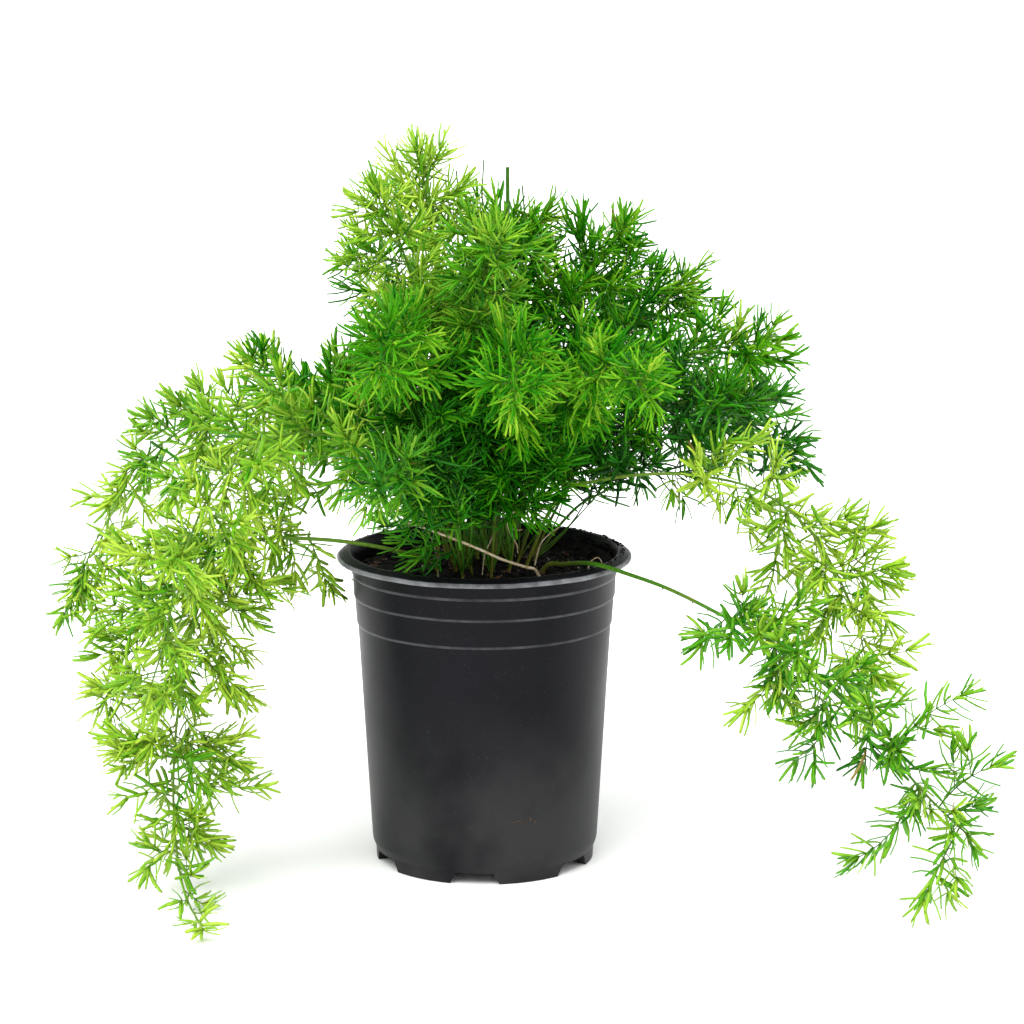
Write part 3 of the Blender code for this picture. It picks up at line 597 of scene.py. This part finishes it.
def modelSpine():
    # A small spine: a three-sided cone that stands on its base
    bpy.ops.mesh.primitive_cone_add(vertices=3, radius1=spines["radius"], radius2=0.0, depth=spines["length"])
    piece = startPiece("spine")
    for vertex in piece.data.vertices:
        vertex.co.z += spines["length"] / 2
    return takeModel(piece, spines["length"])


# Lengths are in mm, angles in degrees, and "sparse and lush" means a value for each of these kinds of stem
foliage = {
    "lowTwigs": 2,  # short twigs below the first full one, in the bush
    "twigSpin": 25,  # how unevenly twigs stand round the stem
    "twigLean": (48, 66),
    "twigLengths": (0.8, 1.05),
    "shortestTwig": 3.0,
    "between": (0.5, 0.8),  # length of the twigs in between, as a share of a full one
    "bow": 0.26,  # how far a twig bows, as a share of its length
    "newGrowth": 0.12,  # share of twigs that are fresh yellow-green, and how much younger these are
    "fresher": 0.22,
    "sideShoots": (0.36, 0.66),  # where the shoots on a twig sit
    "sideGaps": (0.55, 0.35),  # share of them that is missing, sparse and lush
    "sideLength": (12.0, 20.0),
    "sideLean": (45, 65),
    "leastLeft": 9,  # of the twig beyond a side shoot
    "crownShoots": 7,  # thin shoots from the foot of a lush stem
    "crownLean": (5, 28),
    "crownReach": (55.0, 110.0),
    "whorlSteps": (4.8, 4.7),  # between whorls, sparse and lush
    "needles": (2, 3, 4, 4),  # in a whorl
    "turn": 26,  # how unevenly they stand round the twig
    "lean": 66,  # away from the twig, and how much less at its tip
    "closing": 24,
    "spread": (18.0, 40.0),  # how unevenly they lean, sparse and lush
    "shortest": (12.0, 14.5),  # needle, sparse and lush
    "longest": (17.0, 20.5),
    "widths": (1.12, 0.68),  # sparse and lush
    "missing": (0.05, 0.1),  # share of needles that have dropped, sparse and lush
    "dying": 0.002,  # share of needles that have turned yellow-brown
    "starNeedles": 4,  # at a twig's tip
    "starLean": (12, 55),
    "starLength": (10, 16),
    "sheens": {"foliage_light": 0.17, "foliage_mid": 0.07, "foliage_dark": 0.2},
}

# Radius at the start and at the end
radii = {"twig": (0.5, 0.225), "sideShoot": (0.35, 0.2), "crownShoot": (0.55, 0.3), "cutShoot": (0.62, 0.42)}


def twigPlan(name, stem, route, number):
    # Root, direction and length of a side twig, by the rule that the solids follow too
    draw = random.Random(f"{name} twig {number}")
    start = growth["holeDepth"] + stem["bare"]
    distance = start + stem["step"] * number
    share = (distance - start) / (routeLength(route) - start)
    root, forward = along(route, distance)
    spin = goldenAngle * number + draw.uniform(-foliage["twigSpin"], foliage["twigSpin"])
    direction = leaning(forward, spin, draw.uniform(*foliage["twigLean"]))
    length = max(foliage["shortestTwig"], stem["twig"] * (1 - stem["taper"] * share ** 2))
    length *= draw.uniform(*foliage["twigLengths"])
    return root, keptOffGround(root, direction, length), length


def twigRoute(draw, root, direction, length, steps=6):
    # A twig bows a little, up towards the light more often than down
    bow = length * foliage["bow"] * draw.uniform(-0.6, 1.0)
    side = leaning(direction, draw.uniform(0, 360), 90) * length * foliage["bow"] * 0.5
    points = []
    for step in range(steps + 1):
        t = step / steps
        point = root + direction * (length * t) + (Vector((0, 0, bow)) + side) * (t - t * t) * -2.0
        point.z = max(point.z, growth["lowest"] * 0.6)
        points.append(point)
    return points


# How much the bush shades a needle, as painted shade in its green: less towards its outside, its top and its
# foot
shadow = {
    "radius": 135,
    "falloff": 0.7,
    "top": 375,
    "topDepth": 120,
    "foot": 160,
    "footDepth": 95,
    "paintedShade": 0.42,  # how much older and darker the green is painted there: painted shade
}


def shade(root):
    # 0 on the outside, 1 deep inside
    radial = max(0.0, 1 - math.hypot(root.x, root.y) / shadow["radius"])
    belowTop = max(0.0, (shadow["top"] - root.z) / shadow["topDepth"])
    aboveFoot = max(0.0, (root.z - shadow["foot"]) / shadow["footDepth"])
    return radial ** shadow["falloff"] * min(1.0, belowTop, aboveFoot)


def needlePlacing(models, draw, root, forward, spin, lean, length, width, young):
    # One needle's matrix: Z along it, Y towards the twig's end, so that it curves forwards and lies flat
    pointing = keptOffGround(root, leaning(forward, spin, lean), length)
    tip = root + pointing * length
    if reachesPot(root, tip):
        return None
    ahead = (forward - pointing * forward.dot(pointing)).normalized()
    ahead = Matrix.Rotation(math.radians(draw.uniform(-45, 45)), 3, pointing) @ ahead
    if tip.z < needle["length"] / 2:
        # One that lies on the ground bends up from it
        ahead = (Vector((0, 0, 1)) - pointing * pointing.z).normalized()
    across = ahead.cross(pointing).normalized()
    scale = length / needle["length"]
    width *= scale ** 0.5 * draw.uniform(0.8, 1.15)
    # Painted shade: deep in the bush the green is moved towards the old, dark end of the ramp
    young = 0.9 * min(1.0, max(0.0, young + draw.gauss(0, 0.12) - shadow["paintedShade"] * shade(root)))
    if draw.random() < foliage["dying"]:
        young = 1.0
    turn = Matrix((across * width * mm, ahead * scale * mm, pointing * scale * mm)).transposed().to_4x4()
    return draw.choice(models), Matrix.Translation(root * mm) @ turn, young


def betweenTwo(pair, share):
    return pair[0] + (pair[1] - pair[0]) * share


def whorls(models, draw, points, lush, young):
    # Whorls of needles along a twig, shorter at its ends and on a short twig, with a looser star at its tip
    step, spread, shortest, longest, width, missing = (betweenTwo(foliage[key], lush) for key in (
        "whorlSteps", "spread", "shortest", "longest", "widths", "missing"))
    length = routeLength(points)
    count = max(1, round(length / step))
    size = min(1.0, 0.72 + length / 70)
    placings = []
    for number in range(count):
        share = (number + 0.75) / count
        place, forward = along(points, length * min(0.97, share))
        crowd = draw.choice(foliage["needles"])
        spin = goldenAngle * number + draw.uniform(0, 90)
        for k in range(crowd):
            turn = spin + 360 / crowd * k + draw.uniform(-foliage["turn"], foliage["turn"])
            lean = foliage["lean"] + draw.uniform(-1, 1) * spread - foliage["closing"] * share ** 3
            reach = draw.uniform(shortest, longest) * size * (0.84 + 0.2 * math.sin(math.pi * share))
            if draw.random() >= missing:
                tint = young + 0.08 * share
                placings.append(needlePlacing(models, draw, place, forward, turn, lean, reach, width, tint))
    place, forward = along(points, length - 0.2)
    spin = draw.uniform(0, 90)
    for k in range(foliage["starNeedles"]):
        turn = spin + k * 90 + draw.uniform(-25, 25)
        lean = draw.uniform(*foliage["starLean"])
        reach = draw.uniform(*foliage["starLength"]) * size
        placings.append(needlePlacing(models, draw, place, forward, turn, lean, reach, width, young + 0.12))
    return [placing for placing in placings if placing]


def tubesPiece(name, tubes, resolution, material, young, woodyTo=0.0):
    # Round stems or twigs that taper: each tube is its points and its radius at the start and at the end. The
    # bark is brown as far as woodyTo from the foot.
    curve = bpy.data.curves.new(name, "CURVE")
    curve.dimensions = "3D"
    curve.bevel_depth = mm
    curve.bevel_resolution = resolution
    curve.use_fill_caps = True
    for points, startRadius, endRadius in tubes:
        spline = curve.splines.new("POLY")
        spline.points.add(len(points) - 1)
        for i, point in enumerate(points):
            share = i / (len(points) - 1)
            spline.points[i].co = (*(point * mm), 1)
            spline.points[i].radius = startRadius + (endRadius - startRadius) * share
    piece = newObject(name, curve)
    selectOnly(piece)
    bpy.ops.object.convert(target="MESH")
    piece = bpy.context.object
    setAttribute(piece.data, "young", [young] * len(piece.data.vertices))
    foot = tubes[0][0][0] * mm
    setAttribute(piece.data, "woody", [max(0.0, 0.9 - (v.co - foot).length / (woodyTo * mm + 0.0001))
                                       for v in piece.data.vertices])
    piece.data.materials.clear()
    piece.data.materials.append(material)
    piece.data.shade_smooth()
    return piece


def handPlaced(route, rows):
    # Root, direction and length of what a stem's row lists one by one
    for distance, *tip in rows:
        root = along(route, growth["holeDepth"] + distance)[0]
        reach = Vector(tip) - root
        yield root, reach.normalized(), reach.length


def twigPlans(name, stem, route):
    # The sprays listed one by one, then all twigs of the rule, and a few short ones lower down
    yield from handPlaced(route, stem["sprays"])
    last = routeLength(route) - growth["bareTip"] - growth["holeDepth"] - stem["bare"]
    lowest = -int(foliage["lowTwigs"] * stem["lush"] ** 3)
    for number in range(lowest, math.ceil(last / stem["step"])):
        draw = random.Random(f"{name} between {number}")
        root, direction, length = twigPlan(name, stem, route, number)
        yield root, direction, length * (1.0 if number >= 0 else 0.8 + 0.1 * number)
        if draw.random() < stem["lush"] * 0.8:
            root, direction, length = twigPlan(name, stem, route, number + 0.5)
            yield root, direction, length * draw.uniform(*foliage["between"])


def growFoliage(name, stem, route, draw, models):
    # The twigs and shoots of a leafy stem, as tubes, and the placings of its needles
    lush, green = stem["lush"], stem["young"]
    twigs, needles = [], []
    for root, direction, length in twigPlans(name, stem, route):
        if reachesPot(root + direction * 2, root + direction * length):
            continue
        points = twigRoute(draw, root, direction, length)
        fresh = draw.random() < foliage["newGrowth"]
        young = min(0.98, max(0.0, green + draw.gauss(0, 0.07) + (foliage["fresher"] if fresh else 0)))
        twigs.append((points, *radii["twig"]))
        needles += whorls(models, draw, points, lush, young)
        for place in foliage["sideShoots"]:
            tooShort = length * (1 - place) < foliage["leastLeft"]
            if tooShort or draw.random() < betweenTwo(foliage["sideGaps"], lush):
                continue
            base, forward = along(points, routeLength(points) * place)
            reach = min(draw.uniform(*foliage["sideLength"]), length * (1.1 - place))
            heading = leaning(forward, draw.uniform(0, 360), draw.uniform(*foliage["sideLean"]))
            heading = keptOffGround(base, heading, reach)
            if reachesPot(base, base + heading * reach):
                continue
            shoot = twigRoute(draw, base, heading, reach, 4)
            twigs.append((shoot, *radii["sideShoot"]))
            needles += whorls(models, draw, shoot, lush, young + 0.05)
    for _ in range(int(foliage["crownShoots"] * lush ** 3)):
        base, forward = along(route, growth["holeDepth"] + draw.uniform(1, 5))
        heading = leaning(forward, draw.uniform(0, 360), draw.uniform(*foliage["crownLean"]))
        reach = draw.uniform(*foliage["crownReach"])
        if reachesPot(base + heading * 12, base + heading * reach):
            continue
        shoot = twigRoute(draw, base, heading, reach)
        twigs.append((shoot, *radii["crownShoot"]))
        needles += whorls(models, draw, shoot[4:], lush, green + 0.1)
    total = routeLength(route)
    tip = [along(route, total - back)[0] for back in (16, 12, 8, 4, 0)]
    needles += whorls(models, draw, tip, lush, green + 0.12)
    return twigs, needles


def growStem(name, stem, models, spineModel, materials):
    draw = random.Random(f"{name} growth")
    route = stemRoute(stem)
    radius, leafy = stem["radius"], stem["twig"] > 0
    main = (route, radius, radius * (0.36 if leafy else 0.75))
    parts = [tubesPiece(name, [main], 2, materials["stem"], stem["young"], 60.0)]
    twigs, needles = growFoliage(name, stem, route, draw, models) if leafy else ([], [])
    for root, direction, length in handPlaced(route, stem["shoots"]):
        twigs.append((twigRoute(draw, root, direction, length), *radii["cutShoot"]))
    spinePlacings = []
    for number in range(int((routeLength(route) - spines["left"]) / spines["step"])):
        uneven = draw.uniform(-spines["uneven"], spines["uneven"])
        place, forward = along(route, spines["first"] + number * spines["step"] + uneven)
        pointing = leaning(forward, draw.uniform(0, 360), draw.uniform(*spines["lean"]))
        base = place + pointing * radius * 0.6
        turn = pointing.to_track_quat("Z", "Y").to_matrix().to_4x4() @ Matrix.Diagonal((mm, mm, mm, 1))
        spinePlacings.append((spineModel, Matrix.Translation(base * mm) @ turn, 0.5))
    parts.append(tubesPiece(name + "_twigs", twigs, 0, materials["stem"], stem["young"]))
    if needles:
        parts.append(plantCopies(name + "_needles", needles, materials[stem["slot"]]))
    parts.append(plantCopies(name + "_spines", spinePlacings, materials["stem"]))
    piece = joined(*parts)
    piece.name = name.replace("stem_", "leafy_stem_") if leafy else "cut_stem"
    finishPiece(piece, name, stem["slot"])
    return len(needles)


# Pot

pot = {
    "height": 176.5,
    "wall": 1.4,
    "lipRadius": 82.5,
    "lipCrest": 76.5,
    "lipDrop": 4.6,
    "bodyTop": 74.6,
    "bodyBottom": 63.5,
    "ledges": ((163.5, 74.2, 73.6), (151.5, 73.2, 72.5), (136.0, 71.6, 70.8)),  # height, radii over and under
    "ledgeSlope": 1.2,
    "floorUnder": 7.0,
    "footRadius": 61.3,
    "footWidth": 6.0,
    "footCount": 6,
    "firstFoot": 25.0,
    "notchHeight": 6.4,
    "notchTop": 21.0,
    "notchBottom": 29.0,
    "notchDepth": 20.0,  # more than the foot's width, to cut it through
    "drainRadius": 4.5,
    "drainCircle": 47.0,
    "drainDepth": 6.0,
    "steps": 144,
    "wobble": 0.35,  # the thin wall isn't quite round
    "lipUneven": 0.45,  # the trimmed lip isn't quite level
    "lipNicks": 0.35,  # its edge is a little ragged
    "ledgeHighlight": 0.24,  # painted highlight on the ledges, as a share of the lip's
    "sharpEdge": 32,  # edges that turn more than this stay sharp, in degrees
}


def potWall(inset, rounding):
    # Each ledge's four points, from the top one down
    points, half = [], pot["ledgeSlope"] / 2
    for height, above, below in pot["ledges"]:
        points += [(above - inset, height + 1.3, 0), (above - inset, height + half, rounding),
                   (below - inset, height - half, rounding), (below - inset, height - 1.3, 0)]
    return points


def potProfile():
    # From the middle of the floor up inside, over the lip, and down outside to the middle of its underside
    top, wall, lip, crest = pot["height"], pot["wall"], pot["lipRadius"], pot["lipCrest"]
    lipBottom = top - pot["lipDrop"]
    body, foot, under = pot["bodyBottom"], pot["footRadius"], pot["floorUnder"]
    insideFoot = foot - pot["footWidth"]
    return roundedProfile([
        (0, under + wall, 0), (body - 4.0, under + wall, 3.0), (body - wall, 11.5, 2.0),
        *reversed(potWall(wall, 0.3)), (pot["bodyTop"] - wall, top - 5.0, 2.0),
        (crest - 1.4, top, 1.0), (crest + 1.6, top - 0.1, 2.0), (lip - 1.2, top - 1.7, 1.2),
        (lip, top - 2.9, 0.5), (lip, lipBottom + 0.4, 0.4), (lip - wall, lipBottom, 0.4),
        (lip - wall - 1.0, top - 3.2, 1.0), (crest + 1.0, top - 2.2, 1.0), (pot["bodyTop"], top - 4.2, 1.6),
        *potWall(0.0, 0.35), (body, 11.0, 2.5),
        (foot + 0.4, under, 0.6), (foot, 0, 0.5), (insideFoot, 0, 0.5), (insideFoot, under, 0.5),
        (0, under, 0)])


def aroundPot(angle, radius, height):
    turn = math.radians(angle)
    return Vector((math.sin(turn) * radius, -math.cos(turn) * radius, height)) * mm


def cutPot(piece):
    # The notches between the feet and the drain holes
    cutters = bpy.data.collections.new("pot_cutters")
    bpy.context.scene.collection.children.link(cutters)
    tools = []
    for number in range(pot["footCount"]):
        angle = pot["firstFoot"] + 360 / pot["footCount"] * (number + 0.5)
        bpy.ops.mesh.primitive_cube_add(
            size=1, location=aroundPot(angle, pot["footRadius"] - pot["footWidth"] / 2, 0),
            rotation=(0, 0, math.radians(angle)))
        notch = startPiece("notch")
        for vertex in notch.data.vertices:
            upper = vertex.co.z > 0
            vertex.co.x *= (pot["notchTop"] if upper else pot["notchBottom"]) * mm
            vertex.co.y *= pot["notchDepth"] * mm
            vertex.co.z = (pot["notchHeight"] if upper else -1.0) * mm
        bpy.ops.mesh.primitive_cylinder_add(
            vertices=24, radius=pot["drainRadius"] * mm, depth=pot["drainDepth"] * mm,
            location=aroundPot(angle, pot["drainCircle"], pot["floorUnder"]))
        tools += [notch, startPiece("drain")]
    for tool in tools:
        for owner in list(tool.users_collection):
            owner.objects.unlink(tool)
        cutters.objects.link(tool)
    selectOnly(piece)
    cut = piece.modifiers.new("Feet and drain holes", "BOOLEAN")
    cut.operation, cut.operand_type, cut.collection, cut.solver = "DIFFERENCE", "COLLECTION", cutters, "EXACT"
    bpy.ops.object.modifier_apply(modifier=cut.name)
    for tool in tools:
        bpy.data.objects.remove(tool, do_unlink=True)
    bpy.data.collections.remove(cutters)


def pushOut(vertex, x, y, distance):
    radius = math.hypot(x, y)
    vertex.co.x += x / radius * distance * mm
    vertex.co.y += y / radius * distance * mm


def makePot():
    piece = drawTurned("nursery_pot", potProfile(), pot["steps"])
    cutPot(piece)
    top, lip = pot["height"], pot["lipRadius"]
    paintedHighlight = []
    for vertex in piece.data.vertices:
        x, y, z = vertex.co / mm
        radius = math.hypot(x, y)
        # Painted highlight: the lip's outer edge and the ledges are marked to be painted pale, where they
        # would catch the light
        onEdge = radius > lip - 1.0 and z > top - 4.3
        onLedge = any(abs(z - at - 0.3) < 0.75 and radius > above - 0.9 for at, above, _ in pot["ledges"])
        paintedHighlight.append(1.0 if onEdge else pot["ledgeHighlight"] if onLedge else 0.0)
        if radius < 50:
            # The floor stays flat
            continue
        around = Vector((x / radius, y / radius, z * 0.004)) * 1.7
        pushOut(vertex, x, y, pot["wobble"] * noise.noise(around) * min(1.0, z / 60))
        if radius > lip - 2:
            pushOut(vertex, x, y, pot["lipNicks"] * noise.noise(Vector((x, y, 4)) * 0.5))
        nearLip = max(0.0, (z - top + 9) / 9)
        uneven = noise.noise(Vector((x, y, 0)) * 0.045) + 0.5 * noise.noise(Vector((x, y, 9)) * 0.22)
        vertex.co.z += pot["lipUneven"] * nearLip * uneven * mm
    setAttribute(piece.data, "paintedHighlight", paintedHighlight)
    selectOnly(piece)
    bpy.ops.object.shade_smooth_by_angle(angle=math.radians(pot["sharpEdge"]))
    piece.data.materials.append(makePotMaterial())
    finishPiece(piece, "pot", "pot_plastic")


# Soil

soil = {
    "rings": 34,
    "steps": 120,
    "crumb": 1.1,  # height of the fine crumbs in the surface
    "bank": 7.5,  # how high it reaches up the wall
    "crumbs": 1500,
    "crumbReach": 68.5,  # from the pot's middle
    "bits": 90,  # of bark, and as many pale ones
    "bitReach": 64.0,
    "rimCrumbs": 420,
    "rimSide": (35, 50),  # where most of them are, and how widely, in degrees round the pot
    "onWall": 0.6,  # share of them that clings to the wall, and the rest lies on the lip
    "splashBits": 22,  # dried on the front of the pot
    "splashSide": (20, 3.5),
    "splashHeight": (36.5, 0.7),
}


def modelCrumb(seed, stretch):
    # A crumb: a small icosphere knocked out of shape
    bpy.ops.mesh.primitive_ico_sphere_add(subdivisions=1, radius=1)
    piece = startPiece("crumb")
    draw = random.Random(seed)
    for vertex in piece.data.vertices:
        vertex.co *= draw.uniform(0.65, 1.15)
        vertex.co.x *= stretch
    return takeModel(piece, 1.0)


def scatter(model, draw, x, y, z, size):
    spin = Matrix.Rotation(draw.uniform(0, 6.28), 4, "Z") @ Matrix.Rotation(draw.uniform(-0.8, 0.8), 4, "X")
    return model, Matrix.Translation(Vector((x, y, z)) * mm) @ spin @ Matrix.Scale(size * mm, 4), 0.5


def somewhere(draw, reach):
    # A place on the soil, as likely in one spot as in another
    r, a = reach * math.sqrt(draw.random()), draw.uniform(0, 6.283)
    return r * math.cos(a), r * math.sin(a)


def soilBank(x, y):
    # The soil is pushed up the wall at the back and on the right
    edge = max(0.0, math.hypot(x, y) / (pot["bodyTop"] - pot["wall"]) - 0.84) / 0.16
    return soil["bank"] * edge ** 1.5 * max(0.0, min(1.0, 0.25 + (x * 0.8 + y * 0.6) / 70))


def looseBits(soilMaterial):
    draw = random.Random("crumbs")
    crumbModels = [modelCrumb(f"crumb {i}", stretch) for i, stretch in enumerate((1.0, 1.3, 1.6))]
    barkModels = [modelCrumb(f"bark {i}", stretch) for i, stretch in enumerate((2.6, 3.8))]
    crumbs, bark, pale = [], [], []
    for _ in range(soil["crumbs"]):
        x, y = somewhere(draw, soil["crumbReach"])
        size = 0.5 + 2.0 * draw.random() ** 3
        height = soilHeight(x, y) + soilBank(x, y) + 0.2 * size
        crumbs.append(scatter(draw.choice(crumbModels), draw, x, y, height, size))
    for _ in range(soil["rimCrumbs"]):
        a = math.radians(draw.gauss(*soil["rimSide"]))
        clings = draw.random() < soil["onWall"]
        r = draw.uniform(71.5, 73.2) if clings else draw.uniform(75.5, 79.0)
        x, y = r * math.cos(a), r * math.sin(a)
        height = draw.uniform(167.0, 175.0) if clings else 176.4 - 0.25 * max(0.0, r - 77.5)
        crumbs.append(scatter(draw.choice(crumbModels), draw, x, y, height, draw.uniform(0.3, 1.0)))
    for _ in range(soil["bits"]):
        x, y = somewhere(draw, soil["bitReach"])
        model = draw.choice(barkModels)
        bark.append(scatter(model, draw, x, y, soilHeight(x, y) + 0.7, draw.uniform(0.5, 1.3)))
    for _ in range(soil["bits"]):
        x, y = somewhere(draw, soil["bitReach"])
        model, size = draw.choice(crumbModels), 0.2 + 0.6 * draw.random() ** 2
        pale.append(scatter(model, draw, x, y, soilHeight(x, y) + 0.8, size))
    for _ in range(soil["splashBits"]):
        side, height = draw.gauss(*soil["splashSide"]), draw.gauss(*soil["splashHeight"])
        x, y, height = aroundPot(side, 65.0, height) / mm
        bark.append(scatter(draw.choice(barkModels), draw, x, y, height, draw.uniform(0.15, 0.4)))
    # Bark and perlite, dry on the outside
    barkMaterial = makeGrainMaterial(
        "composted_bark", 1.5, 3.0, ((0.35, "#2a1a10"), (0.65, "#5f4128")), Roughness=0.85)
    perlite = makeGrainMaterial(
        "perlite_expanded", 1.5, 3.0, ((0.35, "#8d8474"), (0.65, "#cfc8b8")), Roughness=0.85)
    loose = [plantCopies("crumbs", crumbs, soilMaterial), plantCopies("bark_bits", bark, barkMaterial),
             plantCopies("pale_bits", pale, perlite)]
    for item in loose:
        item.data.shade_flat()
    return loose


def makeSoil():
    inside = growth["soilLevel"]
    clear = pot["wall"] + growth["gap"]
    wall = [(radius, height) for radius, height, _ in potWall(clear, 0) if height < inside - 3]
    rings = [(wall[0][0] * (i / soil["rings"]), inside) for i in range(soil["rings"] + 1)]
    body, bottom = pot["bodyBottom"], pot["floorUnder"] + pot["wall"] + growth["gap"]
    foot = [(body - pot["wall"] - growth["gap"], 12), (body - 4.5, bottom), (0, bottom)]
    piece = drawTurned("potting_soil", rings + wall + foot, soil["steps"])
    for vertex in piece.data.vertices:
        if abs(vertex.co.z - inside * mm) < 0.0001:
            x, y = vertex.co.x / mm, vertex.co.y / mm
            rough = noise.fractal(Vector((x, y, 3.0)) * 0.16, 0.8, 2.0, 4)
            vertex.co.z = (soilHeight(x, y) + soil["crumb"] * rough + soilBank(x, y)) * mm
    soilMaterial = makeSoilMaterial()
    piece.data.materials.append(soilMaterial)
    piece.data.shade_smooth()
    piece = joined(piece, *looseBits(soilMaterial))
    finishPiece(piece, "soil", "potting_soil")


# Dry stem and dead twigs on the soil

dryStem = {
    "foot": (31, -36), "radius": 0.9,
    "path": [(22.5, -43, 175.7), (10, -48, 181), (-2, -52, 187.4), (-15.5, -57.5, 194.2), (-29, -58, 199.5),
             (-41, -54, 202.6)],
}

deadTwigs = [
    [(20, -42, 211), (16, -43, 206), (13, -42, 199), (17, -41, 196), (21.5, -40, 196)],
    [(13, -42, 199), (15, -40, 193), (18, -38, 187), (18.5, -36, 182)],
    [(6, -40, 197), (4, -39, 190), (0.5, -38, 182), (-1, -37, 170)],
    [(-38, -36, 203), (-30, -38, 193), (-26, -40, 182), (-25, -41, 169)],
    [(57, -22, 168), (58.6, -20, 173), (61.5, -19, 175.5), (64, -18, 175), (66, -19, 171)],
    [(28, -12, 170), (31, -10, 181), (36, -9, 187), (42, -8, 191)],
]


def makeDryStem():
    # Dried in the air: papery, bleached along its fibres
    straw = makeGrainMaterial(
        "dry_straw", 2.2, 4.0, ((0.3, "#987951"), (0.75, "#d9d0bc"), (0.5, "#c4b391")), Roughness=0.75)
    route = stemRoute(dryStem)
    piece = tubesPiece("dry_straw_stem", [(route, dryStem["radius"], dryStem["radius"] * 0.7)], 2, straw, 0.5)
    finishPiece(piece, "dry_stem", "dry_straw")
    routes = [(smoothRoute([Vector(p) for p in points]), 0.5, 0.25) for points in deadTwigs]
    twigs = tubesPiece("dead_twigs", routes, 1, straw, 0.5)
    finishPiece(twigs, None, "dry_straw")


# Stage, light and camera

studio = {
    "floorSize": 60.0,
    "cameraPlace": (0.0154, -2.0, 0.600),
    "pitchDown": 11.37,
    "focalPixels": 3655.0,
    "framePixels": 1024.0,
    "sensor": 36.0,
    "worldStrength": 1.22,
    "suns": {  # where each shines from, how soft it is in degrees, and its strength
        "key": ((-0.5, -0.8, 1.5), 50, 3.0),
        "fill": ((0.9, -0.5, 1.2), 80, 0.9),
    },
}


def makeStage():
    bpy.ops.mesh.primitive_plane_add(size=studio["floorSize"], location=(0, 0, 0))
    floor = startPiece("paper_floor")
    # Seamless background paper, matt
    paper = makeGrainMaterial(
        "white_paper_matt", 400.0, 2.0, ((0.3, "#f6f6f6"), (0.7, "#fafafa")), Roughness=0.9)
    floor.data.materials.append(paper)
    floor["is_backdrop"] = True
    world = bpy.data.worlds.new("studio")
    bpy.context.scene.world = world
    world.use_nodes = True
    sky = world.node_tree.nodes["Background"]
    sky.inputs["Color"].default_value = toLinear("#ffffff")
    sky.inputs["Strength"].default_value = studio["worldStrength"]
    for name, (place, angle, strength) in studio["suns"].items():
        light = bpy.data.lights.new(name, "SUN")
        light.angle = math.radians(angle)
        light.energy = strength
        lamp = newObject(name, light)
        lamp.rotation_euler = (-Vector(place)).to_track_quat("-Z", "Y").to_euler()


def makeCamera():
    camera = bpy.data.cameras.new("camera")
    camera.sensor_width = studio["sensor"]
    camera.lens = studio["sensor"] * studio["focalPixels"] / studio["framePixels"]
    camera.clip_end = 100
    holder = newObject("camera", camera)
    holder.location = studio["cameraPlace"]
    holder.rotation_euler = (math.radians(90 - studio["pitchDown"]), 0, 0)
    bpy.context.scene.camera = holder
    bpy.context.scene.view_settings.view_transform = "Standard"


makeStage()
makeCamera()
print("stage: floor, lights and camera")
makePot()
print("pot: turned, notched and drilled")
makeSoil()
print("soil: surface, crumbs and bark")
makeDryStem()
print("dry stem and dead twigs")
needleModels = [modelNeedle(*sweep) for sweep in needle["sweeps"]]
spineModel = modelSpine()
greens = {slot: makeNeedleMaterial("cladode_" + slot, sheen) for slot, sheen in foliage["sheens"].items()}
greens["stem"] = makeStemMaterial()
needleCount = sum(growStem(name, stem, needleModels, spineModel, greens) for name, stem in stems.items())
triangles = sum(sum(len(f.vertices) - 2 for f in piece.data.polygons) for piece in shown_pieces())
print(f"foliage: {needleCount} needles, {triangles} triangles in all")
